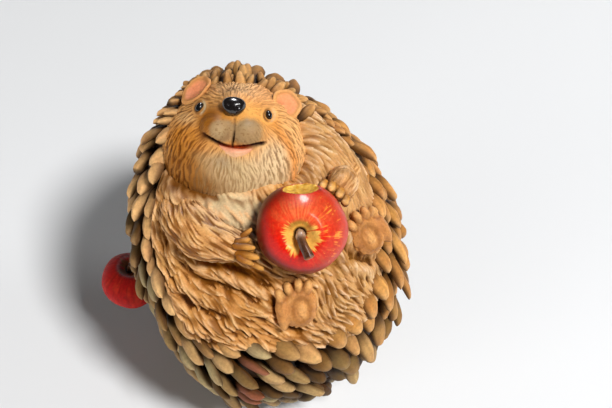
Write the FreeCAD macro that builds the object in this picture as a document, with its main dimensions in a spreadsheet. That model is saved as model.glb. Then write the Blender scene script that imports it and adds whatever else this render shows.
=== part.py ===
import FreeCAD, Part
import math
import os
from FreeCAD import Vector, Placement, Rotation

# Hedgehog figurine, a hand-painted casting about 13 cm high.
# Millimetres. +Z up, origin in the middle of the felt pad's lower face.
# The belly and the face look towards -Y and upwards; +X is on the hedgehog's left.

os.makedirs("parts", exist_ok=True)
doc = FreeCAD.newDocument("hedgehog_figurine")

sheet = doc.addObject("Spreadsheet::Sheet", "Sizes")
cells = [
    ("bodyradius", 42.1),      # casting, widest radius under the quills
    ("midheight", 58.6),       # height of the widest section
    ("lowersemi", 63.2),       # egg semi-axis below the widest section
    ("uppersemi", 58.5),       # egg semi-axis above it
    ("leanside", -0.189),      # the egg leans to its right as it rises
    ("leanback", 0.20),        # and back
    ("wall", 4.5),
    ("basez", 1.5),            # underside of the casting
    ("openingradius", 12.0),   # pour opening
    ("felt_radius", 17.0),
    ("felt_thick", 1.5),
    ("plug_flange", 14.5),
    ("plug_flangethick", 1.5),
    ("plug_depth", 4.0),
    ("headx", -10.2), ("heady", 7.9), ("headz", 104.3),
    ("headwide", 21.2), ("headtall", 18.6), ("headdeep", 18.8),
    ("viewtilt", 40.0),        # the face is tipped back from upright by 50 degrees
    ("muzzlewide", 9.2), ("muzzletall", 7.6), ("muzzledeep", 9.3),
    ("nosewide", 3.35), ("nosetall", 2.9), ("nosedeep", 2.7),
    ("eyeradius", 1.6),
    ("earradius", 4.6), ("earthick", 1.9),
    ("lipwide", 4.2), ("liptall", 1.7), ("lipdeep", 2.4),
    ("applex", 10.6), ("appley", -28.4), ("applez", 105.0), ("appleradius", 13.5),
    ("sideapplex", -49.3), ("sideappley", 5.6), ("sideapplez", 35.6), ("sideappleradius", 10.0),
    ("stemradius", 1.35), ("stemlength", 8.0),
    ("pinradius", 1.5), ("pinlength", 14.0), ("sidepinlength", 16.0),
    ("armshoulder", 6.2), ("armwrist", 4.3), ("pawradius", 4.6), ("fingerradius", 1.45),
    ("footwide", 6.3), ("foottall", 7.6), ("footdeep", 5.4), ("toeradius", 1.9),
    ("quillbase", 2.3), ("quilltip", 0.7), ("quilllength", 10.5), ("quillstand", 4.4),
    ("quillring", 11.5), ("quillgap", 8.2),
]
for row, (name, value) in enumerate(cells, start=1):
    sheet.set("A%d" % row, name)
    sheet.set("B%d" % row, str(value))
    sheet.setAlias("B%d" % row, name)
doc.recompute()


def size(name):
    return float(sheet.get(name))


def E(text):
    """An expression whose words in angle brackets are cells of the sheet."""
    return text.replace("<", "Sizes.").replace(">", "")


def add(kind, name, **props):
    obj = doc.addObject(kind, name)
    for key, value in props.items():
        if isinstance(value, str):
            obj.setExpression(key, E(value))
        else:
            setattr(obj, key, value)
    return obj


def boolean(kind, name, base, tool):
    obj = doc.addObject(kind, name)
    obj.Base = base
    obj.Tool = tool
    return obj


def fuse(name, shapes):
    obj = doc.addObject("Part::MultiFuse", name)
    obj.Shapes = shapes
    return obj


def plane_of(body, role):
    for feature in body.Origin.OriginFeatures:
        if feature.Role == role:
            return feature
    raise RuntimeError("no origin plane " + role)


# ---------------------------------------------------------------- egg of the body
# The axis is upright in the lower half and leans more and more in the upper half.
def ramp(d, w=14.0):
    if d < -w:
        return 0.0
    if d > w:
        return d
    return (d + w) ** 2 / (4 * w)


def section(name, z, inset):
    """Horizontal circle of the egg at height z, drawn in by inset."""
    d = ramp(z - size("midheight"))
    semi = "lowersemi" if z < size("midheight") else "uppersemi"
    c = doc.addObject("Part::Circle", name)
    c.setExpression("Radius", E("(<bodyradius> - %g) * sqrt(1 - ((%g - <midheight>) / (<%s> - %g))^2)" % (inset, z, semi, inset)))
    c.setExpression("Placement.Base.x", E("<leanside> * %.5f" % d))
    c.setExpression("Placement.Base.y", E("<leanback> * %.5f" % d))
    c.setExpression("Placement.Base.z", "%g" % z)
    return c


def egg(name, heights, inset):
    loft = doc.addObject("Part::Loft", name)
    loft.Sections = [section("%s_ring_%02d" % (name, i), z, inset) for i, z in enumerate(heights)]
    loft.Solid = True
    loft.Ruled = False
    loft.Closed = False
    return loft


outer_heights = [size("basez"), 5, 11, 19, 29, 40, 52, 64, 76, 87, 96, 103.5, 109.5, 113.5, 116.0]
inner_heights = [7.5, 12, 19, 29, 40, 52, 64, 76, 87, 96, 102, 106]
body_outer = egg("body_outer", outer_heights, 0.0)
body_cavity = egg("body_cavity", inner_heights, size("wall"))
opening = add("Part::Cylinder", "pour_opening", Radius="<openingradius>", Height=12.0)
doc.recompute()

# ---------------------------------------------------------------- directions used on the front
tilt = math.radians(size("viewtilt"))
FACE = Vector(0, -math.sin(tilt), math.cos(tilt))     # the way the belly and face look
UP = Vector(0, math.cos(tilt), math.sin(tilt))        # across it, towards the forehead
SIDE = Vector(1, 0, 0)
HEAD = Vector(size("headx"), size("heady"), size("headz"))
head_turn = Rotation(FACE, -7).multiply(Rotation(Vector(1, 0, 0), size("viewtilt")))


def at_head(x, up, out):
    return HEAD + head_turn.multVec(Vector(x, up, out))


def ellipsoid(name, wide, tall, deep, place):
    """Semi-axes: wide along local X, tall along local Y, deep along local Z."""
    obj = add("Part::Ellipsoid", name, Radius1=deep, Radius2=wide, Radius3=tall)
    obj.Angle1 = -90
    obj.Angle2 = 90
    obj.Angle3 = 360
    obj.Placement = place
    return obj


def ball(name, radius, centre):
    obj = add("Part::Sphere", name, Radius=radius)
    obj.Placement = Placement(centre, Rotation())
    return obj


def taper(name, r_start, r_end, start, end):
    obj = add("Part::Cone", name, Radius1=r_start, Radius2=r_end)
    run = end - start
    obj.Height = run.Length
    obj.Placement = Placement(start, Rotation(Vector(0, 0, 1), run))
    return obj


# ---------------------------------------------------------------- head and what is set in it
skull = ellipsoid("skull", "<headwide>", "<headtall>", "<headdeep>", Placement(HEAD, head_turn))
muzzle = ellipsoid("muzzle", "<muzzlewide>", "<muzzletall>", "<muzzledeep>", Placement(at_head(0.0, 3.6, 13.6), head_turn))
head_whole = fuse("head_whole", [skull, muzzle])
head_on_body = boolean("Part::Cut", "head_on_body", head_whole, body_outer)
lip_seat = ellipsoid("lip_seat", "<lipwide>", "<liptall>", "<lipdeep>", Placement(at_head(0.0, -3.3, 18.0), head_turn))
head_node = boolean("Part::Cut", "head_casting", head_on_body, lip_seat)
lower_lip = ellipsoid("lower_lip_bead", "<lipwide>", "<liptall>", "<lipdeep>", Placement(at_head(0.0, -3.3, 18.0), head_turn))
doc.recompute()

nose_bead = ellipsoid("nose_bead", "<nosewide>", "<nosetall>", "<nosedeep>", Placement(at_head(0.2, 9.4, 20.6), head_turn))
nose_node = boolean("Part::Cut", "nose_set", nose_bead, head_node)
eye_r_bead = ball("eye_right_bead", "<eyeradius>", at_head(-10.9, 8.2, 13.7))
eye_r_node = boolean("Part::Cut", "eye_right_set", eye_r_bead, head_node)
eye_l_bead = ball("eye_left_bead", "<eyeradius>", at_head(10.9, 8.2, 13.7))
eye_l_node = boolean("Part::Cut", "eye_left_set", eye_l_bead, head_node)


def ear(name, centre, outward):
    turn = Rotation(Vector(0, 0, 1), outward)
    disc = ellipsoid(name + "_disc", "<earradius>", "<earradius>", "<earthick>", Placement(centre, turn))
    dish = ellipsoid(name + "_dish", "<earradius> - 1.3", "<earradius> - 1.3", "<earthick>", Placement(centre + outward * 1.5, turn))
    dished = boolean("Part::Cut", name + "_dished", disc, dish)
    return boolean("Part::Cut", name + "_set", dished, head_node)


ear_r_out = head_turn.multVec(Vector(-0.45, 0.55, 0.70)).normalize()
ear_l_out = head_turn.multVec(Vector(0.50, 0.42, 0.75)).normalize()
ear_r_node = ear("ear_right", at_head(-13.6, 12.9, 6.8), ear_r_out)
ear_l_node = ear("ear_left", at_head(14.6, 12.4, 6.6), ear_l_out)
doc.recompute()


# ---------------------------------------------------------------- apples
def apple_body(name, radius_alias, centre, axis):
    """Turned apple: half section with a stem cavity on top and a shallow one below."""
    body = doc.addObject("PartDesign::Body", name)
    sk = body.newObject("Sketcher::SketchObject", name + "_half")
    sk.AttachmentSupport = [(plane_of(body, "XZ_Plane"), "")]
    sk.MapMode = "FlatFace"
    r = size(radius_alias)
    profile = [(0.0, 0.52), (0.13, 0.62), (0.30, 0.84), (0.55, 0.87), (0.84, 0.62), (1.0, 0.12),
               (0.93, -0.36), (0.70, -0.74), (0.38, -0.88), (0.15, -0.84), (0.0, -0.76)]
    pts = [Vector(x * r, z * r, 0) for x, z in profile]
    curve = Part.BSplineCurve()
    curve.interpolate(pts)
    sk.addGeometry(curve, False)
    sk.addGeometry(Part.LineSegment(pts[-1], pts[0]), False)
    rev = body.newObject("PartDesign::Revolution", name + "_turned")
    rev.Profile = sk
    rev.ReferenceAxis = (sk, ["V_Axis"])
    rev.Angle = 360
    body.Placement = Placement(centre, Rotation(Vector(0, 0, 1), axis))
    return body


APPLE = Vector(size("applex"), size("appley"), size("applez"))
apple_axis = (FACE + UP * -0.04 + SIDE * -0.03).normalize()
apple_turned = apple_body("held_apple_turned", "appleradius", APPLE, apple_axis)
SIDEAPPLE = Vector(size("sideapplex"), size("sideappley"), size("sideapplez"))
side_axis = Vector(0.07, -0.05, 1).normalize()
side_turned = apple_body("side_apple_turned", "sideappleradius", SIDEAPPLE, side_axis)
doc.recompute()


def pin(name, centre, direction, length_alias):
    """Round glue dowel, drawn as a padded circle."""
    body = doc.addObject("PartDesign::Body", name)
    sk = body.newObject("Sketcher::SketchObject", name + "_circle")
    sk.AttachmentSupport = [(plane_of(body, "XY_Plane"), "")]
    sk.MapMode = "FlatFace"
    g = sk.addGeometry(Part.Circle(Vector(0, 0, 0), Vector(0, 0, 1), size("pinradius")), False)
    import Sketcher
    sk.addConstraint(Sketcher.Constraint("Coincident", g, 3, -1, 1))
    k = sk.addConstraint(Sketcher.Constraint("Radius", g, size("pinradius")))
    sk.setExpression("Constraints[%d]" % k, E("<pinradius>"))
    pad = body.newObject("PartDesign::Pad", name + "_length")
    pad.Profile = sk
    pad.setExpression("Length", E("<%s>" % length_alias))
    body.Placement = Placement(centre, Rotation(Vector(0, 0, 1), direction))
    return body


pin_held = pin("held_apple_pin", APPLE - FACE * 19.0, FACE, "pinlength")
to_body = Vector(-size("sideapplex"), 2.0, 4.0).normalize()
pin_side = pin("side_apple_pin", SIDEAPPLE + to_body * 3.0, to_body, "sidepinlength")
doc.recompute()

apple_seated = boolean("Part::Cut", "held_apple_seated", apple_turned, body_outer)
apple_node = boolean("Part::Cut", "held_apple_bored", apple_seated, pin_held)
side_seated = boolean("Part::Cut", "side_apple_seated", side_turned, body_outer)
side_node = boolean("Part::Cut", "side_apple_bored", side_seated, pin_side)
doc.recompute()

stem_foot = APPLE + apple_axis * (0.50 * size("appleradius"))
stem_knee = stem_foot + apple_axis * 3.0
stem_end = stem_knee + (UP * -0.86 + SIDE * 0.33 + FACE * 0.42).normalize() * (size("stemlength") - 1.5)
held_stem_whole = fuse("held_stem_whole", [taper("held_stem_low", "<stemradius>", "<stemradius>", stem_foot, stem_knee),
                                           ball("held_stem_knee", "<stemradius>", stem_knee),
                                           taper("held_stem_high", "<stemradius>", "<stemradius> + 0.2", stem_knee, stem_end)])
held_stem_node = boolean("Part::Cut", "held_apple_stem_set", held_stem_whole, apple_node)
sfoot = SIDEAPPLE + side_axis * (0.50 * size("sideappleradius"))
sknee = sfoot + side_axis * 3.0
send = sknee + Vector(0.3, -0.1, 1).normalize() * (size("stemlength") - 4.5)
side_stem_whole = fuse("side_stem_whole", [taper("side_stem_low", "<stemradius> - 0.35", "<stemradius> - 0.35", sfoot, sknee),
                                           ball("side_stem_knee", "<stemradius> - 0.35", sknee),
                                           taper("side_stem_high", "<stemradius> - 0.35", "<stemradius> - 0.2", sknee, send)])
side_stem_node = boolean("Part::Cut", "side_apple_stem_set", side_stem_whole, side_node)
doc.recompute()

# ---------------------------------------------------------------- arms
def arm(name, shoulder, elbow, wrist, paw, fingers, paw_turn):
    pieces = [ball(name + "_shoulder", "<armshoulder>", shoulder),
              taper(name + "_upper", "<armshoulder>", "<armshoulder> - 0.8", shoulder, elbow),
              ball(name + "_elbow", "<armshoulder> - 0.8", elbow),
              taper(name + "_fore", "<armshoulder> - 0.8", "<armwrist>", elbow, wrist),
              ball(name + "_wrist", "<armwrist>", wrist),
              ellipsoid(name + "_paw", "<pawradius>", "<pawradius> - 0.6", "<pawradius> - 1.6", Placement(paw, paw_turn))]
    for i, (a, b) in enumerate(fingers):
        pieces.append(taper("%s_finger_%d" % (name, i + 1), "<fingerradius>", "<fingerradius> - 0.1", a, b))
        pieces.append(ball("%s_fingertip_%d" % (name, i + 1), "<fingerradius> - 0.1", b))
    whole = fuse(name + "_whole", pieces)
    off_body = boolean("Part::Cut", name + "_off_body", whole, body_outer)
    off_apple = boolean("Part::Cut", name + "_off_apple", off_body, apple_turned)
    return boolean("Part::Cut", name + "_set", off_apple, head_whole)


front_turn = Rotation(Vector(1, 0, 0), size("viewtilt"))


def at_apple(x, up, out):
    return APPLE + front_turn.multVec(Vector(x, up, out))


arm_r_node = arm("arm_right", Vector(-24.0, -14.0, 100.2), Vector(-17.5, -21.5, 100.2), at_apple(-18.5, -3.2, -5.0),
                 at_apple(-15.2, -5.2, -3.6),
                 [(at_apple(-15.6, -2.6, -2.6), at_apple(-13.2, -1.6, -1.6)),
                  (at_apple(-15.0, -4.6, -2.0), at_apple(-12.4, -4.4, -0.8)),
                  (at_apple(-14.6, -6.8, -2.2), at_apple(-11.6, -7.0, -0.8)),
                  (at_apple(-13.8, -9.0, -3.0), at_apple(-10.8, -9.6, -1.6))],
                 front_turn)
arm_l_node = arm("arm_left", Vector(21.0, 4.0, 95.5), Vector(20.5, -4.0, 97.5), at_apple(11.0, 11.6, -8.6),
                 at_apple(10.2, 10.8, -5.4),
                 [(at_apple(7.0, 13.2, -4.4), at_apple(5.2, 12.9, -1.2)),
                  (at_apple(9.2, 12.6, -4.0), at_apple(7.9, 11.9, -0.8)),
                  (at_apple(11.4, 10.8, -4.0), at_apple(10.2, 9.9, -0.9)),
                  (at_apple(13.0, 8.6, -4.4), at_apple(11.9, 7.8, -1.2))],
                 front_turn)
doc.recompute()


# ---------------------------------------------------------------- feet, soles towards the front
def foot(name, sole, facing, toewards, toes):
    facing = Vector(facing).normalize()
    turn = Rotation(Vector(toewards).cross(facing), toewards, facing, "ZYX")
    pieces = [ellipsoid(name + "_sole", "<footwide>", "<foottall>", "<footdeep>", Placement(sole, turn))]
    for i, (x, up, out) in enumerate(toes):
        pieces.append(ball("%s_toe_%d" % (name, i + 1), "<toeradius>", sole + turn.multVec(Vector(x, up, out))))
    whole = fuse(name + "_whole", pieces)
    off_body = boolean("Part::Cut", name + "_off_body", whole, body_outer)
    return boolean("Part::Cut", name + "_set", off_body, apple_turned)


toes_r = [(-5.2, 4.7, 2.3), (-2.5, 6.5, 2.9), (0.7, 7.2, 2.9), (3.7, 6.1, 2.5)]
toes_l = [(-x, up, out) for x, up, out in toes_r]
foot_r_node = foot("foot_right", Vector(8.8, -36.8, 80.0), Vector(0.12, -0.80, 0.60), SIDE * -0.14 + UP, toes_r)
foot_l_node = foot("foot_left", Vector(29.6, -14.6, 86.6), Vector(0.50, -0.56, 0.66), SIDE * -0.66 + UP * 0.75, toes_l)
doc.recompute()

# ---------------------------------------------------------------- underside
import Sketcher


def disc(name, radius_alias, thick_alias, z):
    body = doc.addObject("PartDesign::Body", name)
    sk = body.newObject("Sketcher::SketchObject", name + "_outline")
    sk.AttachmentSupport = [(plane_of(body, "XY_Plane"), "")]
    sk.MapMode = "FlatFace"
    g = sk.addGeometry(Part.Circle(Vector(0, 0, 0), Vector(0, 0, 1), size(radius_alias)), False)
    sk.addConstraint(Sketcher.Constraint("Coincident", g, 3, -1, 1))
    k = sk.addConstraint(Sketcher.Constraint("Radius", g, size(radius_alias)))
    sk.setExpression("Constraints[%d]" % k, E("<%s>" % radius_alias))
    pad = body.newObject("PartDesign::Pad", name + "_thickness")
    pad.Profile = sk
    pad.setExpression("Length", E("<%s>" % thick_alias))
    body.Placement = Placement(Vector(0, 0, z), Rotation())
    return body, pad


felt, felt_pad_feature = disc("felt_disc", "felt_radius", "felt_thick", 0.0)
plug, plug_pad = disc("base_plug_disc", "openingradius", "plug_depth", size("basez"))
doc.recompute()
casting_a = boolean("Part::Cut", "casting_hollow", body_outer, body_cavity)
casting_b = boolean("Part::Cut", "casting_open", casting_a, opening)
casting_c = boolean("Part::Cut", "casting_pin_front", casting_b, pin_held)
casting_node = boolean("Part::Cut", "casting_pin_side", casting_c, pin_side)
doc.recompute()

# ---------------------------------------------------------------- quills
# The fur covers a cap whose middle looks to -Y and 59 degrees up. Its edge, as an angle from
# the middle, is given for the angle round it (0 towards the head, 90 towards +X).
EDGE = [(-172, 53), (-161, 59), (-143, 60), (-124, 50), (-101, 46), (-82, 42), (-70, 40), (-57, 41), (-46, 46),
        (-36, 50), (-22, 53), (-12, 51), (-1, 50), (14, 50), (35, 51), (52, 57), (71, 58), (91, 59), (113, 66),
        (127, 67), (144, 64), (164, 55)]
cap_e = math.radians(59.0)
CAP = Vector(0, -math.cos(cap_e), math.sin(cap_e))
CAP_UP = Vector(0, math.sin(cap_e), math.cos(cap_e))
MID = Vector(-1.0, 1.0, 60.0)


def edge(pa):
    table = [(p - 360, a) for p, a in EDGE] + EDGE + [(p + 360, a) for p, a in EDGE]
    for (p0, a0), (p1, a1) in zip(table, table[1:]):
        if p0 <= pa <= p1:
            return a0 + (a1 - a0) * (pa - p0) / (p1 - p0)
    return 55.0


def inside(p):
    z = p.z
    semi = size("lowersemi") if z < size("midheight") else size("uppersemi")
    d = ramp(z - size("midheight"))
    x = (p.x - size("leanside") * d) / size("bodyradius")
    y = (p.y - size("leanback") * d) / size("bodyradius")
    return x * x + y * y + ((z - size("midheight")) / semi) ** 2 - 1.0


def surface(v):
    a, b = 10.0, 90.0
    for _ in range(40):
        m = (a + b) / 2
        if inside(MID + v * m) < 0:
            a = m
        else:
            b = m
    return MID + v * a


def normal(p):
    h = 0.01
    g = Vector(inside(p + Vector(h, 0, 0)) - inside(p - Vector(h, 0, 0)),
               inside(p + Vector(0, h, 0)) - inside(p - Vector(0, h, 0)),
               inside(p + Vector(0, 0, h)) - inside(p - Vector(0, 0, h)))
    return g.normalize()


L = size("quilllength")
stand = size("quillstand")
quills = {"quills_crown": [], "quills_back": [], "quills_left_flank": [], "quills_right_flank": [], "quills_skirt": []}
placed = []
alpha = 44.0
ring = 0
while alpha < 168:
    around = 2 * math.pi * 50.0 * math.sin(math.radians(alpha))
    count = max(6, int(around / size("quillgap")))
    for k in range(count):
        pa = -180 + 360.0 * (k + 0.5 * (ring % 2)) / count
        if alpha < edge(pa) + 3.0:
            continue
        a, q = math.radians(alpha), math.radians(pa)
        v = CAP * math.cos(a) + (CAP_UP * math.cos(q) + SIDE * math.sin(q)) * math.sin(a)
        root = surface(v)
        n = normal(root)
        away = (-CAP) - n * (-CAP).dot(n)
        if away.Length < 1e-6:
            continue
        away.normalize()
        lift = math.asin((stand + 1.0) / L)
        direction = away * math.cos(lift) + n * math.sin(lift)
        start = root - n * 1.0
        tip = start + direction * L
        if tip.z < 4.0 or start.z < 5.0:
            continue
        clear = True
        for centre, reach in ((HEAD, 24.5), (SIDEAPPLE, size("sideappleradius") + 2.6),
                              (Vector(29.6, -14.6, 86.6), 11.0), (Vector(8.8, -36.8, 80.0), 10.5), (Vector(21.0, 4.0, 95.5), 9.0), (Vector(-24.0, -14.0, 100.2), 9.0)):
            for s in (0.0, 0.5, 1.0):
                if (start + (tip - start) * s - centre).Length < reach:
                    clear = False
        for s0, t0 in placed:
            if (s0 - start).Length > 2.2 * L:
                continue
            for i in range(6):
                for j in range(6):
                    p0 = s0 + (t0 - s0) * (i / 5.0)
                    p1 = start + (tip - start) * (j / 5.0)
                    r0 = size("quillbase") + (size("quilltip") - size("quillbase")) * i / 5.0
                    r1 = size("quillbase") + (size("quilltip") - size("quillbase")) * j / 5.0
                    if (p0 - p1).Length < r0 + r1 + 0.25:
                        clear = False
                        break
                if not clear:
                    break
            if not clear:
                break
        if not clear:
            continue
        placed.append((start, tip))
        if root.z < 30:
            group = "quills_skirt"
        elif abs(pa) < 42 and alpha < 84:
            group = "quills_crown"
        elif root.y > 22:
            group = "quills_back"
        elif root.x > 0:
            group = "quills_left_flank"
        else:
            group = "quills_right_flank"
        quills[group].append((start, direction))
    alpha += size("quillring")
    ring += 1

egg_solid = body_outer.Shape
quill_nodes = []
for name, items in quills.items():
    solids = []
    for start, direction in items:
        cone = Part.makeCone(size("quillbase"), size("quilltip"), L, start, direction)
        cut = cone.cut(egg_solid)
        best = max(cut.Solids, key=lambda s: s.Volume)
        solids.append(best)
    holder = doc.addObject("Part::Feature", name)
    holder.Shape = Part.makeCompound(solids)
    holder.Placement = Placement()
    quill_nodes.append((name, holder))
    print(name, len(solids))

# ---------------------------------------------------------------- names of the finished pieces
finished = [
    ("body_casting", casting_node), ("head", head_node), ("lower_lip", lower_lip), ("nose", nose_node),
    ("eye_right", eye_r_node), ("eye_left", eye_l_node), ("ear_right", ear_r_node), ("ear_left", ear_l_node),
    ("arm_right", arm_r_node), ("arm_left", arm_l_node), ("foot_right", foot_r_node), ("foot_left", foot_l_node),
    ("held_apple", apple_node), ("held_apple_stem", held_stem_node), ("held_apple_dowel", pin_held),
    ("side_apple", side_node), ("side_apple_stem", side_stem_node), ("side_apple_dowel", pin_side),
    ("base_plug", plug), ("felt_pad", felt),
] + quill_nodes
doc.recompute()

bad = []
for obj in doc.Objects:
    if "Invalid" in obj.State or "Error" in obj.State:
        bad.append((obj.Name, obj.State))
if bad:
    raise RuntimeError("failed objects: %r" % bad)

lo = Vector(1e9, 1e9, 1e9)
hi = Vector(-1e9, -1e9, -1e9)
for label, obj in finished:
    obj.Label = label
    shape = obj.Shape
    if shape.isNull() or not shape.isValid():
        raise RuntimeError("bad shape: " + label)
    bb = shape.BoundBox
    lo = Vector(min(lo.x, bb.XMin), min(lo.y, bb.YMin), min(lo.z, bb.ZMin))
    hi = Vector(max(hi.x, bb.XMax), max(hi.y, bb.YMax), max(hi.z, bb.ZMax))
    print("%-20s solids %3d volume %10.2f  box %s" % (label, len(shape.Solids), shape.Volume,
          " ".join("%.1f" % w for w in (bb.XMin, bb.YMin, bb.ZMin, bb.XMax, bb.YMax, bb.ZMax))))
print("whole box", [round(w, 2) for w in (lo.x, lo.y, lo.z, hi.x, hi.y, hi.z)])
for label, obj in finished:
    obj.Shape.exportStep("parts/%s.step" % label)
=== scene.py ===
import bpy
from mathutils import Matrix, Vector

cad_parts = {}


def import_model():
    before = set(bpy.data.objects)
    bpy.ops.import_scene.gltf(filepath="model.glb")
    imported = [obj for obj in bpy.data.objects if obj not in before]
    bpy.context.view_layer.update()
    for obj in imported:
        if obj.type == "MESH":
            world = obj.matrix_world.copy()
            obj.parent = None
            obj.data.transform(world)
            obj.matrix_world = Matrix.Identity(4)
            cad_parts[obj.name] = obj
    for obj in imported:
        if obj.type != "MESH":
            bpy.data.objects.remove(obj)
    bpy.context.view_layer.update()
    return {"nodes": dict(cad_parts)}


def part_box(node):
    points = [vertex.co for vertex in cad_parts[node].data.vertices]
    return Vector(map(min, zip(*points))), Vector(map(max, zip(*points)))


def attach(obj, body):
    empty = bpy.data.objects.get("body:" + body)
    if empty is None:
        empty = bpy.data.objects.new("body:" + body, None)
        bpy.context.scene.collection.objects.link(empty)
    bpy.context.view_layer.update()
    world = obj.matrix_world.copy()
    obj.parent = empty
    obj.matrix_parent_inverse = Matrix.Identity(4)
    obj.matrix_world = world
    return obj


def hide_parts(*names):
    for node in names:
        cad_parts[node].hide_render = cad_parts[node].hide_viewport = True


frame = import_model()
import math
import bpy
import numpy as np
from mathutils import Matrix, Vector

# Hedgehog figurine, painted cast resin, about 13 cm high.
# Lengths are in millimetres here and become metres when a mesh is made.
MM = 0.001


# ------------------------------------------------------------------ small helpers
def vec(*w):
    return np.array(w, float)


def unit(v):
    v = np.asarray(v, float)
    return v / (np.linalg.norm(v, axis=-1, keepdims=True) + 1e-12)


def dot(a, b):
    return (a * b).sum(-1)


def ease(lo, hi, x):
    t = np.clip((np.asarray(x, float) - lo) / (hi - lo), 0, 1)
    return t * t * (3 - 2 * t)


def srgb(r, g, b):
    c = np.array([r, g, b], float) / 255.0
    return np.where(c <= 0.04045, c / 12.92, ((c + 0.055) / 1.055) ** 2.4)


def mixc(a, b, t):
    t = np.asarray(t, float)[..., None]
    return a * (1 - t) + b * t


def lattice(ix, iy, iz, seed):
    h = (ix * 73856093) ^ (iy * 19349663) ^ (iz * 83492791) ^ (seed * 2654435)
    h = (h ^ (h >> 13)) * 1274126177
    h = h ^ (h >> 16)
    return (h & 0xFFFFF) / float(0xFFFFF)


def noise(p, size, seed=1):
    """Smooth noise 0..1 at points p, features about size mm."""
    q = np.asarray(p, float) / size + 517.3
    i = np.floor(q).astype(np.int64)
    f = q - i
    f = f * f * (3 - 2 * f)
    out = 0.0
    for dx in (0, 1):
        wx = f[..., 0] if dx else 1 - f[..., 0]
        for dy in (0, 1):
            wy = f[..., 1] if dy else 1 - f[..., 1]
            for dz in (0, 1):
                wz = f[..., 2] if dz else 1 - f[..., 2]
                out = out + wx * wy * wz * lattice(i[..., 0] + dx, i[..., 1] + dy, i[..., 2] + dz, seed)
    return out


def blur(h, sigma):
    """Gaussian blur of a grid, sigma in cells."""
    n = int(3 * sigma + 2)
    g = np.pad(h, n, mode="reflect")
    fx = np.fft.fftfreq(g.shape[0])[:, None]
    fy = np.fft.rfftfreq(g.shape[1])[None, :]
    k = np.exp(-2 * (math.pi * sigma) ** 2 * (fx ** 2 + fy ** 2))
    g = np.fft.irfft2(np.fft.rfft2(g) * k, s=g.shape)
    return g[n:-n, n:-n]


def sample(g, x, y):
    """Bilinear value of grid g at fractional cells."""
    x = np.clip(x, 0, g.shape[0] - 1.001)
    y = np.clip(y, 0, g.shape[1] - 1.001)
    i, j = x.astype(np.int64), y.astype(np.int64)
    fx, fy = x - i, y - j
    return (g[i, j] * (1 - fx) * (1 - fy) + g[i + 1, j] * fx * (1 - fy)
            + g[i, j + 1] * (1 - fx) * fy + g[i + 1, j + 1] * fx * fy)


def strands(cell_noise, fu, fv, length, step):
    """Noise drawn out along a flow. fu, fv: cells per mm along the flow."""
    n, m = cell_noise.shape
    I, J = np.meshgrid(np.arange(n, dtype=float), np.arange(m, dtype=float), indexing="ij")
    out = cell_noise.copy()
    total = 1.0
    count = max(2, int(length / 2.0 / step))
    for sign in (1.0, -1.0):
        x, y = I.copy(), J.copy()
        for k in range(1, count + 1):
            ii = np.clip(np.rint(x).astype(np.int64), 0, n - 1)
            jj = np.clip(np.rint(y).astype(np.int64), 0, m - 1)
            x = x + sign * step * fu[ii, jj]
            y = y + sign * step * fv[ii, jj]
            w = 0.5 * (1 + math.cos(math.pi * k / (count + 1)))
            out += w * sample(cell_noise, x, y)
            total += w
    out /= total
    out -= out.mean()
    return out / (out.std() + 1e-9)


def dotted(shape, cell, seed):
    """White noise softened to a grain of about `cell` grid cells."""
    r = np.random.default_rng(seed).standard_normal(shape)
    g = blur(r, cell)
    return g / (g.std() + 1e-9)


def build(name, verts, quads, tris=None, attrs=None):
    """Mesh from arrays; faces turned outwards; colours and numbers per point."""
    verts = np.asarray(verts, float)
    quads = np.asarray(quads, np.int64).reshape(-1, 4)
    tris = np.asarray(tris if tris is not None else [], np.int64).reshape(-1, 3)
    t = np.concatenate([quads[:, [0, 1, 2]], quads[:, [0, 2, 3]], tris])
    c = verts.mean(0)
    a, b, d = verts[t[:, 0]] - c, verts[t[:, 1]] - c, verts[t[:, 2]] - c
    if dot(a, np.cross(b, d)).sum() < 0:
        quads = quads[:, ::-1]
        tris = tris[:, ::-1]
    loops = np.concatenate([quads.ravel(), tris.ravel()]).astype(np.int32)
    starts = np.concatenate([np.arange(len(quads)) * 4, len(quads) * 4 + np.arange(len(tris)) * 3]).astype(np.int32)
    me = bpy.data.meshes.new(name)
    me.vertices.add(len(verts))
    me.vertices.foreach_set("co", (verts * MM).astype(np.float32).ravel())
    me.loops.add(len(loops))
    me.loops.foreach_set("vertex_index", loops)
    me.polygons.add(len(starts))
    me.polygons.foreach_set("loop_start", starts)
    me.polygons.foreach_set("use_smooth", np.ones(len(starts), bool))
    me.update(calc_edges=True)
    me.validate()
    for key, val in (attrs or {}).items():
        val = np.asarray(val, np.float32)
        if val.ndim == 2:
            full = np.ones((len(verts), 4), np.float32)
            full[:, :3] = val
            me.attributes.new(key, "FLOAT_COLOR", "POINT").data.foreach_set("color", full.ravel())
        else:
            me.attributes.new(key, "FLOAT", "POINT").data.foreach_set("value", val.ravel())
    ob = bpy.data.objects.new(name, me)
    bpy.context.scene.collection.objects.link(ob)
    return ob


def ring_faces(n, m, start=0):
    idx = np.arange(n * m).reshape(n, m) + start
    nxt = np.roll(idx, -1, 1)
    return np.stack([idx[:-1], nxt[:-1], nxt[1:], idx[1:]], -1).reshape(-1, 4)


def closed_rings(P):
    """Points (n rings, m round) closed by a middle point at each end."""
    n, m = P.shape[:2]
    quads = ring_faces(n, m)
    verts = np.concatenate([P.reshape(-1, 3), P[0].mean(0)[None], P[-1].mean(0)[None]])
    i = np.arange(m)
    j = (i + 1) % m
    low = np.stack([np.full(m, n * m), j, i], -1)
    top = np.stack([np.full(m, n * m + 1), (n - 1) * m + i, (n - 1) * m + j], -1)
    return verts, quads, np.concatenate([low, top])


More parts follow.
